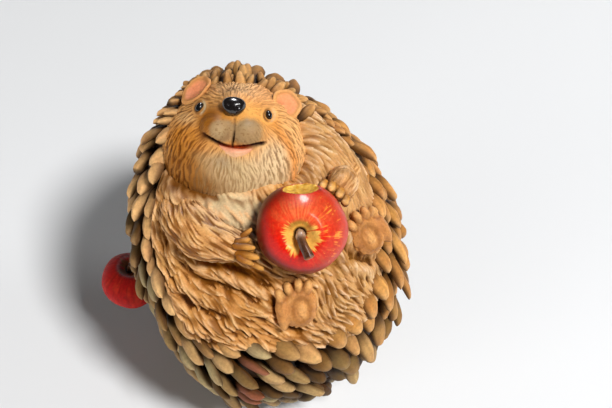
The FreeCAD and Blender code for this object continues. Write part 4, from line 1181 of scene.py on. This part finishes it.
def ears():
    data = (("ear_right", (-13.9, 13.7, 6.6), (-0.52, 0.52, 0.68), 5.9, 4.1, srgb(216, 138, 96), srgb(200, 142, 84), 0.9),
            ("ear_left", (14.4, 12.8, 7.4), (0.36, 0.40, 0.84), 5.0, 4.5, srgb(224, 146, 98), srgb(212, 154, 92), 0.55))
    for name, c, o, ra, rb, inner, rim, dish in data:
        ez = unit(vec(*o))
        ex = unit(np.cross(vec(0, 1, 0.2), ez))
        ey = np.cross(ez, ex)
        # the right ear leans over to the forehead
        lean = math.radians(32 if name == "ear_right" else 0)
        ex, ey = ex * math.cos(lean) - ey * math.sin(lean), ey * math.cos(lean) + ex * math.sin(lean)
        m = 72
        # profile from the middle of the dish, over the rim, to the back
        prof = [(0.02, -1.15), (0.2, -1.12), (0.4, -0.98), (0.55, -0.72), (0.68, -0.30), (0.78, 0.15), (0.86, 0.45), (0.93, 0.50),
                (0.985, 0.28), (1.0, -0.10), (0.97, -0.6), (0.88, -1.2), (0.72, -1.9), (0.5, -2.6), (0.25, -3.0), (0.02, -3.1)]
        pr = np.array(prof)
        k = np.linspace(0, len(prof) - 1, 46)
        rho = np.interp(k, np.arange(len(prof)), pr[:, 0])
        dz = np.interp(k, np.arange(len(prof)), pr[:, 1])
        fi = np.linspace(0, 2 * math.pi, m, endpoint=False)
        R, Fi = np.meshgrid(rho, fi, indexing="ij")
        Z = np.repeat(dz[:, None], m, 1) * dish
        # the lower part of the rim runs into the head
        lower = ease(0.2, -1.0, np.sin(Fi))
        Z = Z - lower * 1.0 * ease(0.6, 1.0, R)
        shape = 1 + 0.06 * np.cos(2 * Fi + 0.6) + 0.03 * np.cos(5 * Fi)
        Q = (vec(*c) + ex * (R * np.cos(Fi) * rb * shape)[..., None] + ey * (R * np.sin(Fi) * ra * shape)[..., None] + ez * Z[..., None])
        Q = Q + ez * ((noise(Q, 1.5, 95) - 0.5) * 0.35)[..., None]
        side = k[:, None] * np.ones((1, m))
        inn = ease(5.4, 2.9, side)
        col = mixc(np.broadcast_to(rim, Q.shape), inner, inn)
        col = mixc(col, srgb(150, 92, 44), np.exp(-((side - 4.9) / 0.7) ** 2) * 0.35)
        col = mixc(col, srgb(150, 100, 50), ease(9.0, 10.5, side))
        col = mixc(col, srgb(176, 104, 66), ease(0.5, 0.9, noise(Q, 2.2, 96)) * inn * 0.5)
        verts, quads, tris = closed_rings(world(Q))
        col = col.reshape(-1, 3)
        ob = build(name + "_bowl", verts, quads, tris, {"tone": np.concatenate([col, col[:1], col[-1:]])})
        piece(ob, "ear", "ear", name)


# ------------------------------------------------------------------ arms, paws and feet
def curve_points(ctrl, n):
    """Smooth line through control points."""
    c = np.array(ctrl, float)
    c = np.concatenate([[2 * c[0] - c[1]], c, [2 * c[-1] - c[-2]]])
    seg = len(c) - 3
    out = []
    for k in np.linspace(0, seg - 1e-6, n):
        i = int(k)
        t = k - i
        p0, p1, p2, p3 = c[i], c[i + 1], c[i + 2], c[i + 3]
        out.append(0.5 * (2 * p1 + (p2 - p0) * t + (2 * p0 - 5 * p1 + 4 * p2 - p3) * t * t + (3 * p1 - p0 - 3 * p2 + p3) * t ** 3))
    return np.array(out)


def join(parts):
    """Several closed shells in one mesh."""
    V, Qd, Tr, Co = [], [], [], []
    base = 0
    for verts, quads, tris, col in parts:
        t = np.concatenate([quads[:, [0, 1, 2]], quads[:, [0, 2, 3]], tris])
        c = verts.mean(0)
        a, b, d = verts[t[:, 0]] - c, verts[t[:, 1]] - c, verts[t[:, 2]] - c
        if dot(a, np.cross(b, d)).sum() < 0:
            quads = quads[:, ::-1]
            tris = tris[:, ::-1]
        V.append(verts)
        Qd.append(quads + base)
        Tr.append(tris + base)
        Co.append(col)
        base += len(verts)
    return np.concatenate(V), np.concatenate(Qd), np.concatenate(Tr), np.concatenate(Co)


def furry_limb(ctrl, wide, thick, facing, seed, light, recess_wash_and_shade, n=230, m=170, skew=0.35, hair=1.0):
    C = curve_points(ctrl, n)
    T = unit(np.gradient(C, axis=0))
    k = np.linspace(0, 1, n)
    w = np.interp(k, np.linspace(0, 1, len(wide)), wide)
    h = np.interp(k, np.linspace(0, 1, len(thick)), thick)
    Wd = unit(np.cross(facing, T))
    Nn = np.cross(T, Wd)
    fi = np.linspace(0, 2 * math.pi, m, endpoint=False)
    pad = 24
    cols = np.arange(-pad, m + pad) % m
    f2 = fi[cols]
    P = (C[:, None] + Wd[:, None] * (w[:, None] * np.cos(f2)[None])[..., None] + Nn[:, None] * (h[:, None] * np.sin(f2)[None])[..., None])
    round_end = np.sqrt(np.clip(1 - np.clip((k - 0.9) / 0.1, 0, 1) ** 2, 0.004, 1))
    P = C[:, None] + (P - C[:, None]) * round_end[:, None, None]
    pu, pv = metric(P)
    N = unit(np.cross(pu, pv))
    if dot(N, P - C[:, None]).mean() < 0:
        N = -N
    D = unit(T[:, None] + skew * (-Wd)[:, None] * np.ones((1, len(cols), 1)))
    D = D - N * dot(D, N)[..., None]
    D = unit(D)
    wav = (noise(P, 5.0, seed) - 0.5) * 0.7
    E = np.cross(N, D)
    D = D * np.cos(wav)[..., None] + E * np.sin(wav)[..., None]
    fu, fv = flow_cells(P, D)
    cell = float(np.linalg.norm(pu, axis=-1).mean())
    fine = np.tanh(strands(dotted(P.shape[:2], 0.40 / cell, seed + 1), fu, fv, 7.0, 0.3))
    keep = np.ones(P.shape[:2], bool)
    gap = np.full(P.shape[:2], 1.75)
    one = np.ones(P.shape[:2])
    H1 = tufts(P, N, D, sow(P, keep, gap, seed + 2), 9.5 * one, 1.7 * one, 0.42 * hair * (1 - 0.6 * ease(0.78, 0.98, k))[:, None] * one, seed + 3, ridges=2.0)
    broad = np.tanh(strands(noise(P, 0.52, seed + 9), fu, fv, 6.4, 0.16) * 1.5)
    H1 = np.maximum(H1, np.percentile(H1, 22))
    H = fine * 0.16 * hair + broad * 0.16 * hair + H1 + (noise(P, 5.0, seed + 7) - 0.5) * 0.9
    cavity = H - blur(H, 0.7 / cell)
    Q = P + N * H[..., None]
    dark = ease(0.0, -0.30, cavity)
    lit = ease(0.02, 0.28, cavity)
    # painted shade on the lower side of the limb and a painted highlight along its upper side; below, darker in hollows
    # and between strands, partly brown wash, partly painted shade
    col = mixc(np.broadcast_to(light, Q.shape), light * 0.72, ease(0.1, 0.9, -np.cos(f2))[None] * np.ones(P.shape[:2]) * 0.8)
    col = mixc(col, srgb(222, 184, 136), ease(0.05, 0.9, np.cos(f2))[None] * ease(0.1, 0.3, k)[:, None] * ease(0.95, 0.7, k)[:, None] * 0.6)
    col = mixc(col, LIGHT, lit * 0.7)
    col = mixc(col, recess_wash_and_shade, np.clip(dark * 0.55 + np.clip(-broad - 0.10, 0, 1) * 0.85 + np.clip(-fine - 0.35, 0, 1) * 0.35, 0, 0.9))
    col = np.clip(col * (1 + 0.10 * fine)[..., None], 0, 1)
    col = mixc(col, srgb(146, 92, 34), (ease(0.74, 0.94, k) * 0.6)[:, None] * np.ones(P.shape[:2]))
    Q = Q[:, pad:-pad]
    col = col[:, pad:-pad]
    # the columns at the seam are copied but left unchanged
    mixw = np.linspace(0.5, 0, 6)
    for s in range(6):
        a, b = Q[:, s].copy(), Q[:, -1 - s].copy()
    verts, quads, tris = closed_rings(Q)
    c2 = col.reshape(-1, 3)
    return verts, quads, tris, np.concatenate([c2, c2[:1], c2[-1:]])


def pod(a, b, ra, rb, col_a, col_b, seed, up=None, flat=0.85, n=30, m=28, claw=False):
    """Plump finger or toe from a to b."""
    a, b = np.asarray(a, float), np.asarray(b, float)
    t = unit(b - a)
    ref = FACE if up is None else up
    s = unit(np.cross(ref, t))
    u = np.cross(t, s)
    L = np.linalg.norm(b - a)
    k = np.linspace(0, 1, n)
    th = np.linspace(-math.pi / 2 + 0.12, math.pi / 2 - 0.12, n)
    along = L * (np.sin(th) * 0.5 + 0.5)
    q = along / L
    r = (ra + (rb - ra) * q) * np.sqrt(np.clip(1 - (2 * q - 1) ** 6, 0.0, 1)) * (1 + 0.05 * np.sin(6 * q + seed))
    r = np.maximum(r, 0.05)
    fi = np.linspace(0, 2 * math.pi, m, endpoint=False)
    P = (a + t * along[:, None, None] + s * (r[:, None] * np.cos(fi)[None])[..., None] + u * (r[:, None] * np.sin(fi)[None] * flat)[..., None])
    P = P + unit(P - (a + b) / 2) * ((noise(P, 1.1, seed) - 0.5) * 0.30)[..., None]
    lit = noise(P, 1.3, seed + 5)
    col = mixc(np.broadcast_to(col_a, P.shape), col_b, ease(0.25, 0.95, q)[:, None] * np.ones((1, m)))
    col = mixc(col, col * 0.72, ease(0.45, 0.9, lit) * 0.8)
    # painted shade: darker underneath each finger and toe and along its sides, where they meet
    low = np.clip(-np.sin(fi), 0, 1)[None] * np.ones((n, 1))
    edge_ = np.abs(np.cos(fi))[None] ** 3 * np.ones((n, 1))
    col = mixc(col, srgb(80, 40, 6), np.clip(low * 0.8 + edge_ * 0.85, 0, 0.92))
    verts, quads, tris = closed_rings(P)
    c2 = col.reshape(-1, 3)
    return verts, quads, tris, np.concatenate([c2, c2[:1], c2[-1:]])


def arms():
    OCD = srgb(136, 82, 22)
    OCH = srgb(190, 130, 54)
    OCL = srgb(230, 176, 104)
    # its right arm comes down from the shoulder and across to the apple
    pts = [seen(170, 203, -4.0), seen(186, 222, 0.2), seen(204, 236, 1.4), seen(222, 243, 3.0), seen(238, 247, 4.0)]
    pts.append(at_apple(-15.6, -5.6, -4.2))
    shell = furry_limb(pts, [5.0, 6.6, 7.0, 5.6, 4.0, 2.6], [3.2, 4.2, 4.4, 3.9, 3.0, 2.0], FACE, 120, srgb(200, 146, 86), srgb(116, 66, 12), skew=0.30)
    parts = [shell]
    paw = np.array([at_apple(-15.9, -5.2, -4.0)])[0]
    parts.append(pod(paw + SIDE * -3.4 + UP * 0.6, paw + SIDE * 1.6 - UP * 0.6, 2.9, 2.9, srgb(176, 118, 52), OCH, 131, flat=0.9))
    for k, (a, b, r0, r1) in enumerate((((-18.6, -2.2, -1.4), (-14.9, 0.6, -1.0), 1.0, 0.6), ((-20.2, -3.6, 0.4), (-15.4, -2.4, 0.2), 1.3, 0.8),
                                        ((-20.8, -4.4, 1.2), (-13.8, -4.9, 1.3), 1.2, 0.75), ((-20.2, -6.3, 0.2), (-12.6, -7.9, 1.2), 1.35, 0.9),
                                        ((-19.6, -7.4, 1.0), (-14.4, -9.8, 0.9), 1.15, 0.75), ((-16.6, -9.0, -1.2), (-11.6, -11.3, -1.4), 1.0, 0.7))):
        parts.append(pod(at_apple(*a), at_apple(*b), r0 * 1.12, r1 * 1.12, OCD, srgb(206, 146, 68), 140 + k))
    ob = build("arm_right_fur", *[w for w in join(parts)[:3]], {"tone": join(parts)[3]})
    piece(ob, "paw", "paw", "arm_right")
    # the other arm is behind the apple; its fingers show over the rim
    pts = [vec(23.0, 5.0, 94.0), vec(21.5, -3.0, 96.5), at_apple(12.0, 14.2, -9.5), at_apple(9.6, 11.4, -6.6)]
    shell = furry_limb(pts, [5.8, 5.4, 4.6, 3.6], [4.6, 4.4, 3.8, 3.0], FACE, 160, srgb(208, 156, 98), srgb(156, 106, 50), n=160, m=130, skew=0.2, hair=0.6)
    parts = [shell, pod(at_apple(10.6, 13.2, -7.4), at_apple(9.0, 9.8, -5.0), 3.2, 3.2, OCH, OCH, 170)]
    for k, (a, b, r) in enumerate((((6.6, 14.6, -4.6), (5.1, 12.5, -1.4), 1.35), ((8.8, 14.0, -4.6), (7.8, 11.6, -1.0), 1.4),
                                   ((11.2, 12.2, -4.8), (10.2, 9.7, -1.2), 1.4), ((13.0, 10.0, -5.0), (11.9, 7.6, -1.6), 1.35))):
        parts.append(pod(at_apple(*a), at_apple(*b), r * 0.92, r, OCH, OCL, 180 + k))
    J = join(parts)
    ob = build("arm_left_fur", J[0], J[1], J[2], {"tone": J[3]})
    piece(ob, "paw", "paw", "arm_left")


def foot(name, centre, facing, toeward, mirror, seed):
    ez = unit(facing)
    ey = unit(toeward - ez * dot(toeward, ez))
    ex = np.cross(ey, ez)
    toes = [(-5.2 * mirror, 4.7, 2.3), (-2.5 * mirror, 6.5, 2.9), (0.7 * mirror, 7.2, 2.9), (3.7 * mirror, 6.1, 2.5)]

    def form(q):
        d = ell(q, (0, 0, 0), (6.0, 7.0, 4.6))
        d = -smin(-d, ell(q, (0.6 * mirror, -0.4, 5.2), (4.3, 5.4, 2.3)), 0.7)      # hollow of the sole
        d = smin(d, ell(q, (0.9 * mirror, -0.8, 2.5), (1.7, 2.8, 1.6)), 0.5)  # pad
        rim = ell(q, (-4.9 * mirror, -1.0, 1.6), (1.9, 6.0, 2.9))
        d = smin(d, rim, 0.8)
        for t in toes:
            d = smin(d, ell(q, t, (1.30, 2.0, 1.6)), 0.45)
        return d

    n, m = ((130, 190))
    v = ball_grid(n, m)
    Q = radial(form, v, 11.5, 2.0, 0.4)
    N = unit(Q)
    sole = ease(0.8, 2.4, Q[..., 2])
    hairy = (noise(Q * vec(1.6, 0.7, 1), 0.9, seed) - 0.5) * (0.6 - 0.35 * sole) + (noise(Q, 0.6, seed + 1) - 0.5) * 0.2
    fold = np.sin(Q[..., 1] * 2.1 + Q[..., 0] * 0.8) * 0.10 * sole
    Q2 = Q + N * (hairy + fold)[..., None]
    x, y, z = Q[..., 0], Q[..., 1], Q[..., 2]
    col = mixc(np.broadcast_to(srgb(190, 134, 72), Q.shape), srgb(188, 130, 72), sole)
    pad_ = spot(x, y, 0.9 * mirror, -0.8, 1.4, 2.3) * sole
    col = mixc(col, srgb(208, 154, 92), np.clip(pad_ * 1.2, 0, 0.95))
    # painted shade in the hollow round the pad
    col = mixc(col, srgb(120, 72, 26), np.exp(-((np.hypot((x - 0.9 * mirror) / 2.7, (y + 0.8) / 4.0) - 1.0) / 0.30) ** 2) * sole * 0.6)
    for t in toes:
        tt = spot(x, y, t[0], t[1] + 0.6, 1.2, 1.6) * ease(1.2, 2.6, z)
        col = mixc(col, srgb(216, 164, 100), tt * 0.8)
        # painted shade in the gaps round each toe
        ring = np.abs(np.hypot((x - t[0]) / 1.75, (y - t[1]) / 2.4) - 1.0)
        col = mixc(col, srgb(96, 52, 16), np.exp(-(ring / 0.20) ** 2) * 0.45 * ease(0.8, 2.2, z))
    col = mixc(col, srgb(128, 80, 34), ease(0.55, 0.25, noise(Q * vec(1.6, 0.7, 1), 0.9, seed)) * (0.85 - 0.65 * sole))
    W = centre + Q2[..., :1] * ex + Q2[..., 1:2] * ey + Q2[..., 2:] * ez
    verts, quads, tris = closed_rings(W)
    c2 = col.reshape(-1, 3)
    ob = build(name + "_sole", verts, quads, tris, {"tone": np.concatenate([c2, c2[:1], c2[-1:]])})
    piece(ob, "paw", "paw", name)


# ------------------------------------------------------------------ apples
def apple_form(v, R, seed, ribs=5, squash=0.96):
    """v: unit vectors in apple axes (z to the stalk)."""
    th = np.arccos(np.clip(v[..., 2], -1, 1))
    fi = np.arctan2(v[..., 1], v[..., 0])
    r = R * (1 + 0.012 * np.cos(ribs * fi + 0.7) * np.sin(th) + 0.010 * np.cos(2 * fi + 1.1))
    r = r * (1 - 0.04 * np.cos(th) ** 2)
    P = v * r[..., None]
    P[..., 2] *= squash
    dip = np.exp(-(th / 0.30) ** 2)
    P[..., 2] -= R * 0.30 * dip
    P[..., 2] += R * 0.035 * np.exp(-((th - 0.52) / 0.22) ** 2)
    low = np.exp(-((math.pi - th) / 0.25) ** 2)
    P[..., 2] += R * 0.16 * low
    P = P + v * ((noise(v * R, 5.0, seed) - 0.5) * 0.25)[..., None]
    return P, th, fi


def held_apple():
    ez = unit(FACE - 0.13 * UP - 0.05 * SIDE)
    ex = unit(SIDE - ez * dot(SIDE, ez))
    ey = np.cross(ez, ex)
    centre = APPLE - 0.4 * SIDE + 0.7 * UP
    n, m = ((210, 300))
    v = ball_grid(n, m)
    # finer rows near the stalk
    R = 13.35
    P, th, fi = apple_form(v, R, 201)
    # bitten place at the top, slightly hollow, yellow flesh
    bn = unit(vec(-0.02, 0.965, 0.235))
    t1 = unit(np.cross(bn, vec(1, 0, 0)))
    t2 = np.cross(bn, t1)
    reach = 12.25
    h = dot(P, bn) - reach
    wob = (noise(P, 2.0, 205) - 0.5) * 0.5
    inside = h + wob * 0.6 > 0
    flesh = ease(-0.05, 0.12, h + wob * 0.6)
    uu, ww = dot(P, t1), dot(P, t2)
    rad = np.hypot(uu, ww) / 5.2
    cutd = h + 0.75 * np.clip(1 - rad ** 2, 0, 1) + 0.10 * np.cos(2.4 * ww) - (noise(P, 0.8, 206) - 0.5) * 0.35
    P = np.where(inside[..., None], P - bn * cutd[..., None], P)
    lip_ = np.exp(-((h + 0.22) / 0.18) ** 2)
    # colours
    x, y = P[..., 0], P[..., 1]
    ang = np.degrees(fi)
    rho = np.hypot(x, y)
    vn = v * R
    red = np.broadcast_to(srgb(204, 20, 6), P.shape)
    big = noise(vn, 6.0, 211)
    streak_c = np.stack([np.cos(fi) * 9, np.sin(fi) * 9, th * 1.4], -1)
    st = noise(streak_c, 0.55, 212)
    st2 = noise(streak_c * vec(1, 1, 0.8), 0.28, 213)
    col = mixc(red, srgb(230, 62, 24), ease(0.5, 0.85, st) * 0.18 * ease(2.4, 1.2, th))
    col = mixc(col, srgb(160, 10, 4), ease(0.52, 0.85, st2) * 0.4)
    # lighter orange streaks at the top: partly skin colour, partly painted highlight
    col = mixc(col, srgb(236, 120, 60), ease(0.62, 0.80, noise(vn * vec(2.2, 0.6, 1), 0.9, 219)) * spot(x, y, 2.0, 4.0, 8.0, 5.0) * 0.45)
    col = mixc(col, srgb(236, 122, 68), spot(x, y, 0.5, 6.4, 7.5, 4.2) * (0.36 + 0.46 * ease(0.3, 0.7, st2)))
    col = mixc(col, srgb(232, 100, 50), ease(0.5, 0.8, st2) * spot(x, y, 5.5, -4.0, 5.0, 6.0) * 0.5)
    col = mixc(col, srgb(176, 62, 34), ease(0.15, 0.85, np.cos(fi)) * ease(0.35, 1.0, th) * 0.62)
    # painted shade on the dark left limb and the lower side, and a painted pink-violet reflection of the floor along
    # the rim to the right and below
    limb = ease(0.80, 1.45, th)
    col = mixc(col, srgb(92, 2, 0), np.clip(ease(0.70, 1.30, th) * ease(0.0, -0.7, np.cos(fi)) * 0.95, 0, 1))
    floor_reflection_r = np.exp(-((th - 1.46) / 0.16) ** 2) * ease(0.15, 0.7, np.cos(fi + 0.55))
    col = mixc(col, srgb(176, 66, 66), np.clip(floor_reflection_r * 0.3, 0, 1))
    floor_reflection_l = np.exp(-((th - 1.36) / 0.13) ** 2) * ease(0.2, 0.8, -np.sin(fi)) * ease(0.3, -0.3, np.cos(fi))
    col = mixc(col, srgb(150, 56, 70), np.clip(floor_reflection_l * 0.45, 0, 1))
    col = mixc(col, srgb(84, 6, 4), ease(0.72, 1.15, th) * ease(-0.15, -0.85, np.sin(fi + 0.55)) * 0.92)
    # yellow star round the hollow
    e1 = np.hypot((x + 3.0 + 0.25 * y) / 2.0, (y + 1.8) / 4.3)
    e2 = np.hypot((x - 3.7) / 2.0, (y + 0.8) / 3.0)
    e3 = np.hypot((x + 0.2) / 3.0, (y - 1.5) / 1.8)
    star = ease(1.22, 0.82, np.minimum(np.minimum(e1, e2), e3) + (st - 0.5) * 1.0 + (noise(streak_c, 0.3, 214) - 0.5) * 0.22)
    yellow = mixc(np.broadcast_to(srgb(238, 194, 96), P.shape), srgb(222, 158, 64), noise(vn, 1.6, 215))
    col = mixc(col, yellow, star * 0.92)
    olive = np.exp(-((rho - 3.3) / 0.75) ** 2) * ease(0.1, 0.8, np.sin(fi))
    col = mixc(col, srgb(160, 124, 48), olive * 0.85)
    # scratches of yellow on its right side
    scr = ease(0.60, 0.72, noise(streak_c, 0.22, 216)) * ease(0.45, 0.62, noise(vn, 2.4, 217)) * ease(0.2, 0.7, np.cos(fi)) * ease(5.5, 8.5, rho) * ease(12.6, 11.0, rho)
    col = mixc(col, srgb(232, 140, 52), np.clip(scr, 0, 0.85))
    # hollow round the stalk, near-black as painted shade
    hol = ease(2.3, 1.5, rho) * (P[..., 2] > 0)
    col = mixc(col, srgb(52, 28, 12), np.clip(hol * 1.1, 0, 1))
    # bitten flesh
    fl = mixc(np.broadcast_to(srgb(244, 196, 84), P.shape), srgb(208, 146, 40), ease(0.4, 0.8, noise(P, 1.1, 218)))
    col = mixc(col, fl, flesh)
    # dark red along one side of the bite's edge: partly skin colour, partly painted shade at the cut
    col = mixc(col, srgb(96, 10, 6), np.clip(lip_ * (1 - flesh) * 1.0, 0, 0.9) * ease(0.5, -0.2, dot(P, t1) * -1.0 / 5.2 + 0.0))
    col = mixc(col, srgb(214, 96, 92), np.clip(lip_ * (1 - flesh) * 0.8, 0, 0.8) * ease(0.2, 0.8, P[..., 1] / 13.0) * (P[..., 2] < 2.5))
    W = centre + P[..., :1] * ex + P[..., 1:2] * ey + P[..., 2:] * ez
    verts, quads, tris = closed_rings(W)
    c2 = col.reshape(-1, 3)
    ob = build("held_apple_skin", verts, quads, tris, {"tone": np.concatenate([c2, c2[:1], c2[-1:]])})
    piece(ob, "apple", "apple", "held_apple")
    # stalk, bent over to the lower right
    ctrl = [(0.0, 0.0, 8.4), (0.1, -0.1, 10.2), (0.3, -0.7, 11.8), (1.1, -2.6, 13.0), (2.2, -4.8, 13.5), (3.0, -6.6, 13.6)]
    pts = [centre + ex * a + ey * b + ez * c for a, b, c in ctrl]
    C = curve_points(pts, 60)
    T = unit(np.gradient(C, axis=0))
    s = unit(np.cross(FACE, T))
    u = np.cross(T, s)
    k = np.linspace(0, 1, 60)
    r = np.interp(k, [0, 0.25, 0.38, 0.5, 0.8, 0.95, 1.0], [1.25, 1.30, 1.45, 1.25, 1.35, 1.55, 1.1])
    fi = np.linspace(0, 2 * math.pi, 40, endpoint=False)
    rr = r[:, None] * (1 + 0.07 * np.cos(3 * fi + 5 * k[:, None]) + 0.04 * np.cos(7 * fi - 4 * k[:, None]))
    P = C[:, None] + s[:, None] * (rr * np.cos(fi))[..., None] + u[:, None] * (rr * np.sin(fi))[..., None]
    P[-1] = C[-1] + (P[-1] - C[-1]) * 0.7
    kk = k[:, None] * np.ones((1, 40))
    col = mixc(np.broadcast_to(srgb(186, 160, 134), P.shape), srgb(104, 66, 40), ease(0.36, 0.50, kk))
    col = mixc(col, srgb(58, 32, 18), ease(0.35, 0.8, noise(P, 1.0, 221)) * ease(0.4, 0.55, kk) * 0.8)
    # painted shade down one side of the stalk and at its foot in the hollow; the orange-brown at its free end is partly
    # a painted reflection of the apple
    col = mixc(col, srgb(48, 26, 14), ease(0.2, 0.9, np.cos(fi - 2.6))[None] * ease(0.38, 0.5, kk) * 0.6)
    col = mixc(col, srgb(150, 92, 48), ease(0.90, 0.97, kk) * 0.8)
    col = mixc(col, srgb(70, 44, 26), ease(0.2, 0.0, kk))
    verts, quads, tris = closed_rings(P)
    c2 = col.reshape(-1, 3)
    ob = build("held_apple_stalk", verts, quads, tris, {"tone": np.concatenate([c2, c2[:1], c2[-1:]])})
    piece(ob, "stem", "stem", "held_apple_stem")


def side_apple():
    ez = unit(vec(0.07, -0.05, 1))
    ex = unit(SIDE - ez * dot(SIDE, ez))
    ey = np.cross(ez, ex)
    v = ball_grid(110, 150)
    P, th, fi = apple_form(v, 9.95, 231)
    sc = np.stack([np.cos(fi) * 7, np.sin(fi) * 7, th * 1.6], -1)
    st = noise(sc, 0.6, 232)
    col = mixc(np.broadcast_to(srgb(176, 26, 22), P.shape), srgb(206, 60, 34), ease(0.45, 0.85, st) * 0.5)
    col = mixc(col, srgb(110, 8, 8), ease(0.5, 0.9, noise(sc, 0.3, 233)) * 0.5)
    rho = np.hypot(P[..., 0], P[..., 1])
    lobe = 3.4 + (st - 0.5) * 2.6 + 0.9 * np.cos(5 * fi)
    col = mixc(col, srgb(120, 84, 40), ease(0.4, -0.4, rho - lobe) * (P[..., 2] > 0) * 0.8)
    # near-black in the stalk hollow: painted shade
    col = mixc(col, srgb(28, 14, 8), ease(2.0, 1.3, rho) * (P[..., 2] > 0))
    W = SIDEAPPLE + P[..., :1] * ex + P[..., 1:2] * ey + P[..., 2:] * ez
    verts, quads, tris = closed_rings(W)
    c2 = col.reshape(-1, 3)
    ob = build("side_apple_skin", verts, quads, tris, {"tone": np.concatenate([c2, c2[:1], c2[-1:]])})
    piece(ob, "apple_matt", "apple", "side_apple")
    lo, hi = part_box("side_apple_stem")
    lo, hi = np.array(lo) / MM, np.array(hi) / MM
    base = SIDEAPPLE + ez * 6.0
    top = vec((lo[0] + hi[0]) / 2 + 0.6, (lo[1] + hi[1]) / 2 - 0.6, hi[2] - 0.9)
    C = curve_points([base, base + ez * 2.2, (base + top) / 2 + vec(0.3, -0.2, 1.0), top], 40)
    T = unit(np.gradient(C, axis=0))
    s = unit(np.cross(vec(0, 1, 0), T))
    u = np.cross(T, s)
    k = np.linspace(0, 1, 40)
    fi = np.linspace(0, 2 * math.pi, 30, endpoint=False)
    r = np.interp(k, [0, 0.6, 0.93, 1.0], [1.1, 0.85, 1.2, 0.9])
    rr = r[:, None] * (1 + 0.07 * np.cos(3 * fi + 5 * k[:, None]))
    P = C[:, None] + s[:, None] * (rr * np.cos(fi))[..., None] + u[:, None] * (rr * np.sin(fi))[..., None]
    col = mixc(np.broadcast_to(srgb(96, 62, 36), P.shape), srgb(56, 34, 18), noise(P, 1.0, 241))
    verts, quads, tris = closed_rings(P)
    c2 = col.reshape(-1, 3)
    ob = build("side_apple_stalk", verts, quads, tris, {"tone": np.concatenate([c2, c2[:1], c2[-1:]])})
    piece(ob, "stem", "stem", "side_apple_stem")


# ------------------------------------------------------------------ make everything
body_bed()
body_fur()
quills()
head()
nose_and_eyes()
lip()
ears()
arms()
foot("foot_right", vec(8.8, -36.8, 80.0), vec(.12, -.80, .60), UP - 0.14 * SIDE, 1, 301)
foot("foot_left", vec(29.6, -14.6, 86.6), vec(.50, -.56, .66), 0.75 * UP - 0.66 * SIDE, -1, 311)
held_apple()
side_apple()
for node, mat in (("felt_pad", "felt"), ("base_plug", "plug"), ("held_apple_dowel", "dowel"), ("side_apple_dowel", "dowel")):
    o = frame["nodes"][node]
    o.data.materials.clear()
    o.data.materials.append(MAT[mat])


# ------------------------------------------------------------------ floor, light and camera
def floor():
    me = bpy.data.meshes.new("floor")
    r = 4.0
    n = 24
    g = np.linspace(-r, r, n)
    X, Y = np.meshgrid(g, g, indexing="ij")
    V = np.stack([X, Y, np.zeros_like(X)], -1).reshape(-1, 3)
    idx = np.arange(n * n).reshape(n, n)
    q = np.stack([idx[:-1, :-1], idx[1:, :-1], idx[1:, 1:], idx[:-1, 1:]], -1).reshape(-1, 4)
    me.from_pydata([tuple(w) for w in V], [], [tuple(int(k) for k in w) for w in q])
    ob = bpy.data.objects.new("floor", me)
    bpy.context.scene.collection.objects.link(ob)
    m = bpy.data.materials.new("pale_floor")
    m.use_nodes = True
    nt = m.node_tree
    bs = nt.nodes["Principled BSDF"]
    tc = nt.nodes.new("ShaderNodeTexCoord")
    t = nt.nodes.new("ShaderNodeTexNoise")
    t.inputs["Scale"].default_value = 3.0
    nt.links.new(tc.outputs["Object"], t.inputs["Vector"])
    rmp = nt.nodes.new("ShaderNodeValToRGB")
    rmp.color_ramp.elements[0].color = (0.752, 0.770, 0.795, 1)
    rmp.color_ramp.elements[1].color = (0.772, 0.788, 0.808, 1)
    nt.links.new(t.outputs["Fac"], rmp.inputs["Fac"])
    nt.links.new(rmp.outputs["Color"], bs.inputs["Base Color"])
    bs.inputs["Roughness"].default_value = 0.8
    bs.inputs["Specular IOR Level"].default_value = 0.1
    me.materials.append(m)


def lamp(name, direction, distance, width, power, colour, target=(0, 0, 60), glossy=True, diffuse=True):
    L = bpy.data.lights.new(name, "AREA")
    L.shape = "DISK"
    L.size = width * MM
    L.energy = power
    L.color = colour
    o = bpy.data.objects.new(name, L)
    bpy.context.scene.collection.objects.link(o)
    d = unit(direction)
    pos = vec(*target) + d * distance
    o.location = [float(w) * MM for w in pos]
    o.rotation_mode = "QUATERNION"
    o.rotation_quaternion = Vector([float(w) for w in d]).to_track_quat("Z", "Y")
    o.visible_glossy = glossy
    o.visible_diffuse = diffuse
    return o


floor()
lamp("key", (0.37, -0.40, 0.84), 2200, 450, 56.5, (1.0, 0.985, 0.965), glossy=False)
lamp("key_sheen", (0.37, -0.40, 0.84), 1300, 520, 11.0, (1.0, 0.99, 0.98), diffuse=False)
lamp("side", (0.93, 0.10, 0.36), 720, 240, 1.7, (1.0, 1.0, 1.0), target=(0, 0, 0), glossy=False)
lamp("top", (0.03, 0.63, 0.78), 1000, 230, 9.0, (0.96, 0.98, 1.0), diffuse=False)
lamp("fill", (-0.82, -0.56, 0.13), 1100, 600, 5.4, (1.0, 0.98, 0.95), glossy=False)
world_ = bpy.data.worlds.new("studio")
world_.use_nodes = True
bg = world_.node_tree.nodes["Background"]
bg.inputs["Color"].default_value = (0.96, 0.98, 1.0, 1)
bg.inputs["Strength"].default_value = 0.045
bpy.context.scene.world = world_
bpy.context.scene.view_settings.view_transform = "Standard"

cam = bpy.data.cameras.new("camera")
cam.lens = 80.0
cam.sensor_width = 36.0
cam.sensor_fit = "HORIZONTAL"
cam.clip_start = 0.01
cam.clip_end = 20.0
cam.dof.use_dof = False
co = bpy.data.objects.new("camera", cam)
bpy.context.scene.collection.objects.link(co)
M = Matrix.Identity(4)
for c_, axis in enumerate((SIDE, UP, FACE)):
    for r_ in range(3):
        M[r_][c_] = float(axis[r_])
for r_ in range(3):
    M[r_][3] = float(EYE[r_]) * MM
co.matrix_world = M
bpy.context.scene.camera = co

bpy.context.view_layer.update()
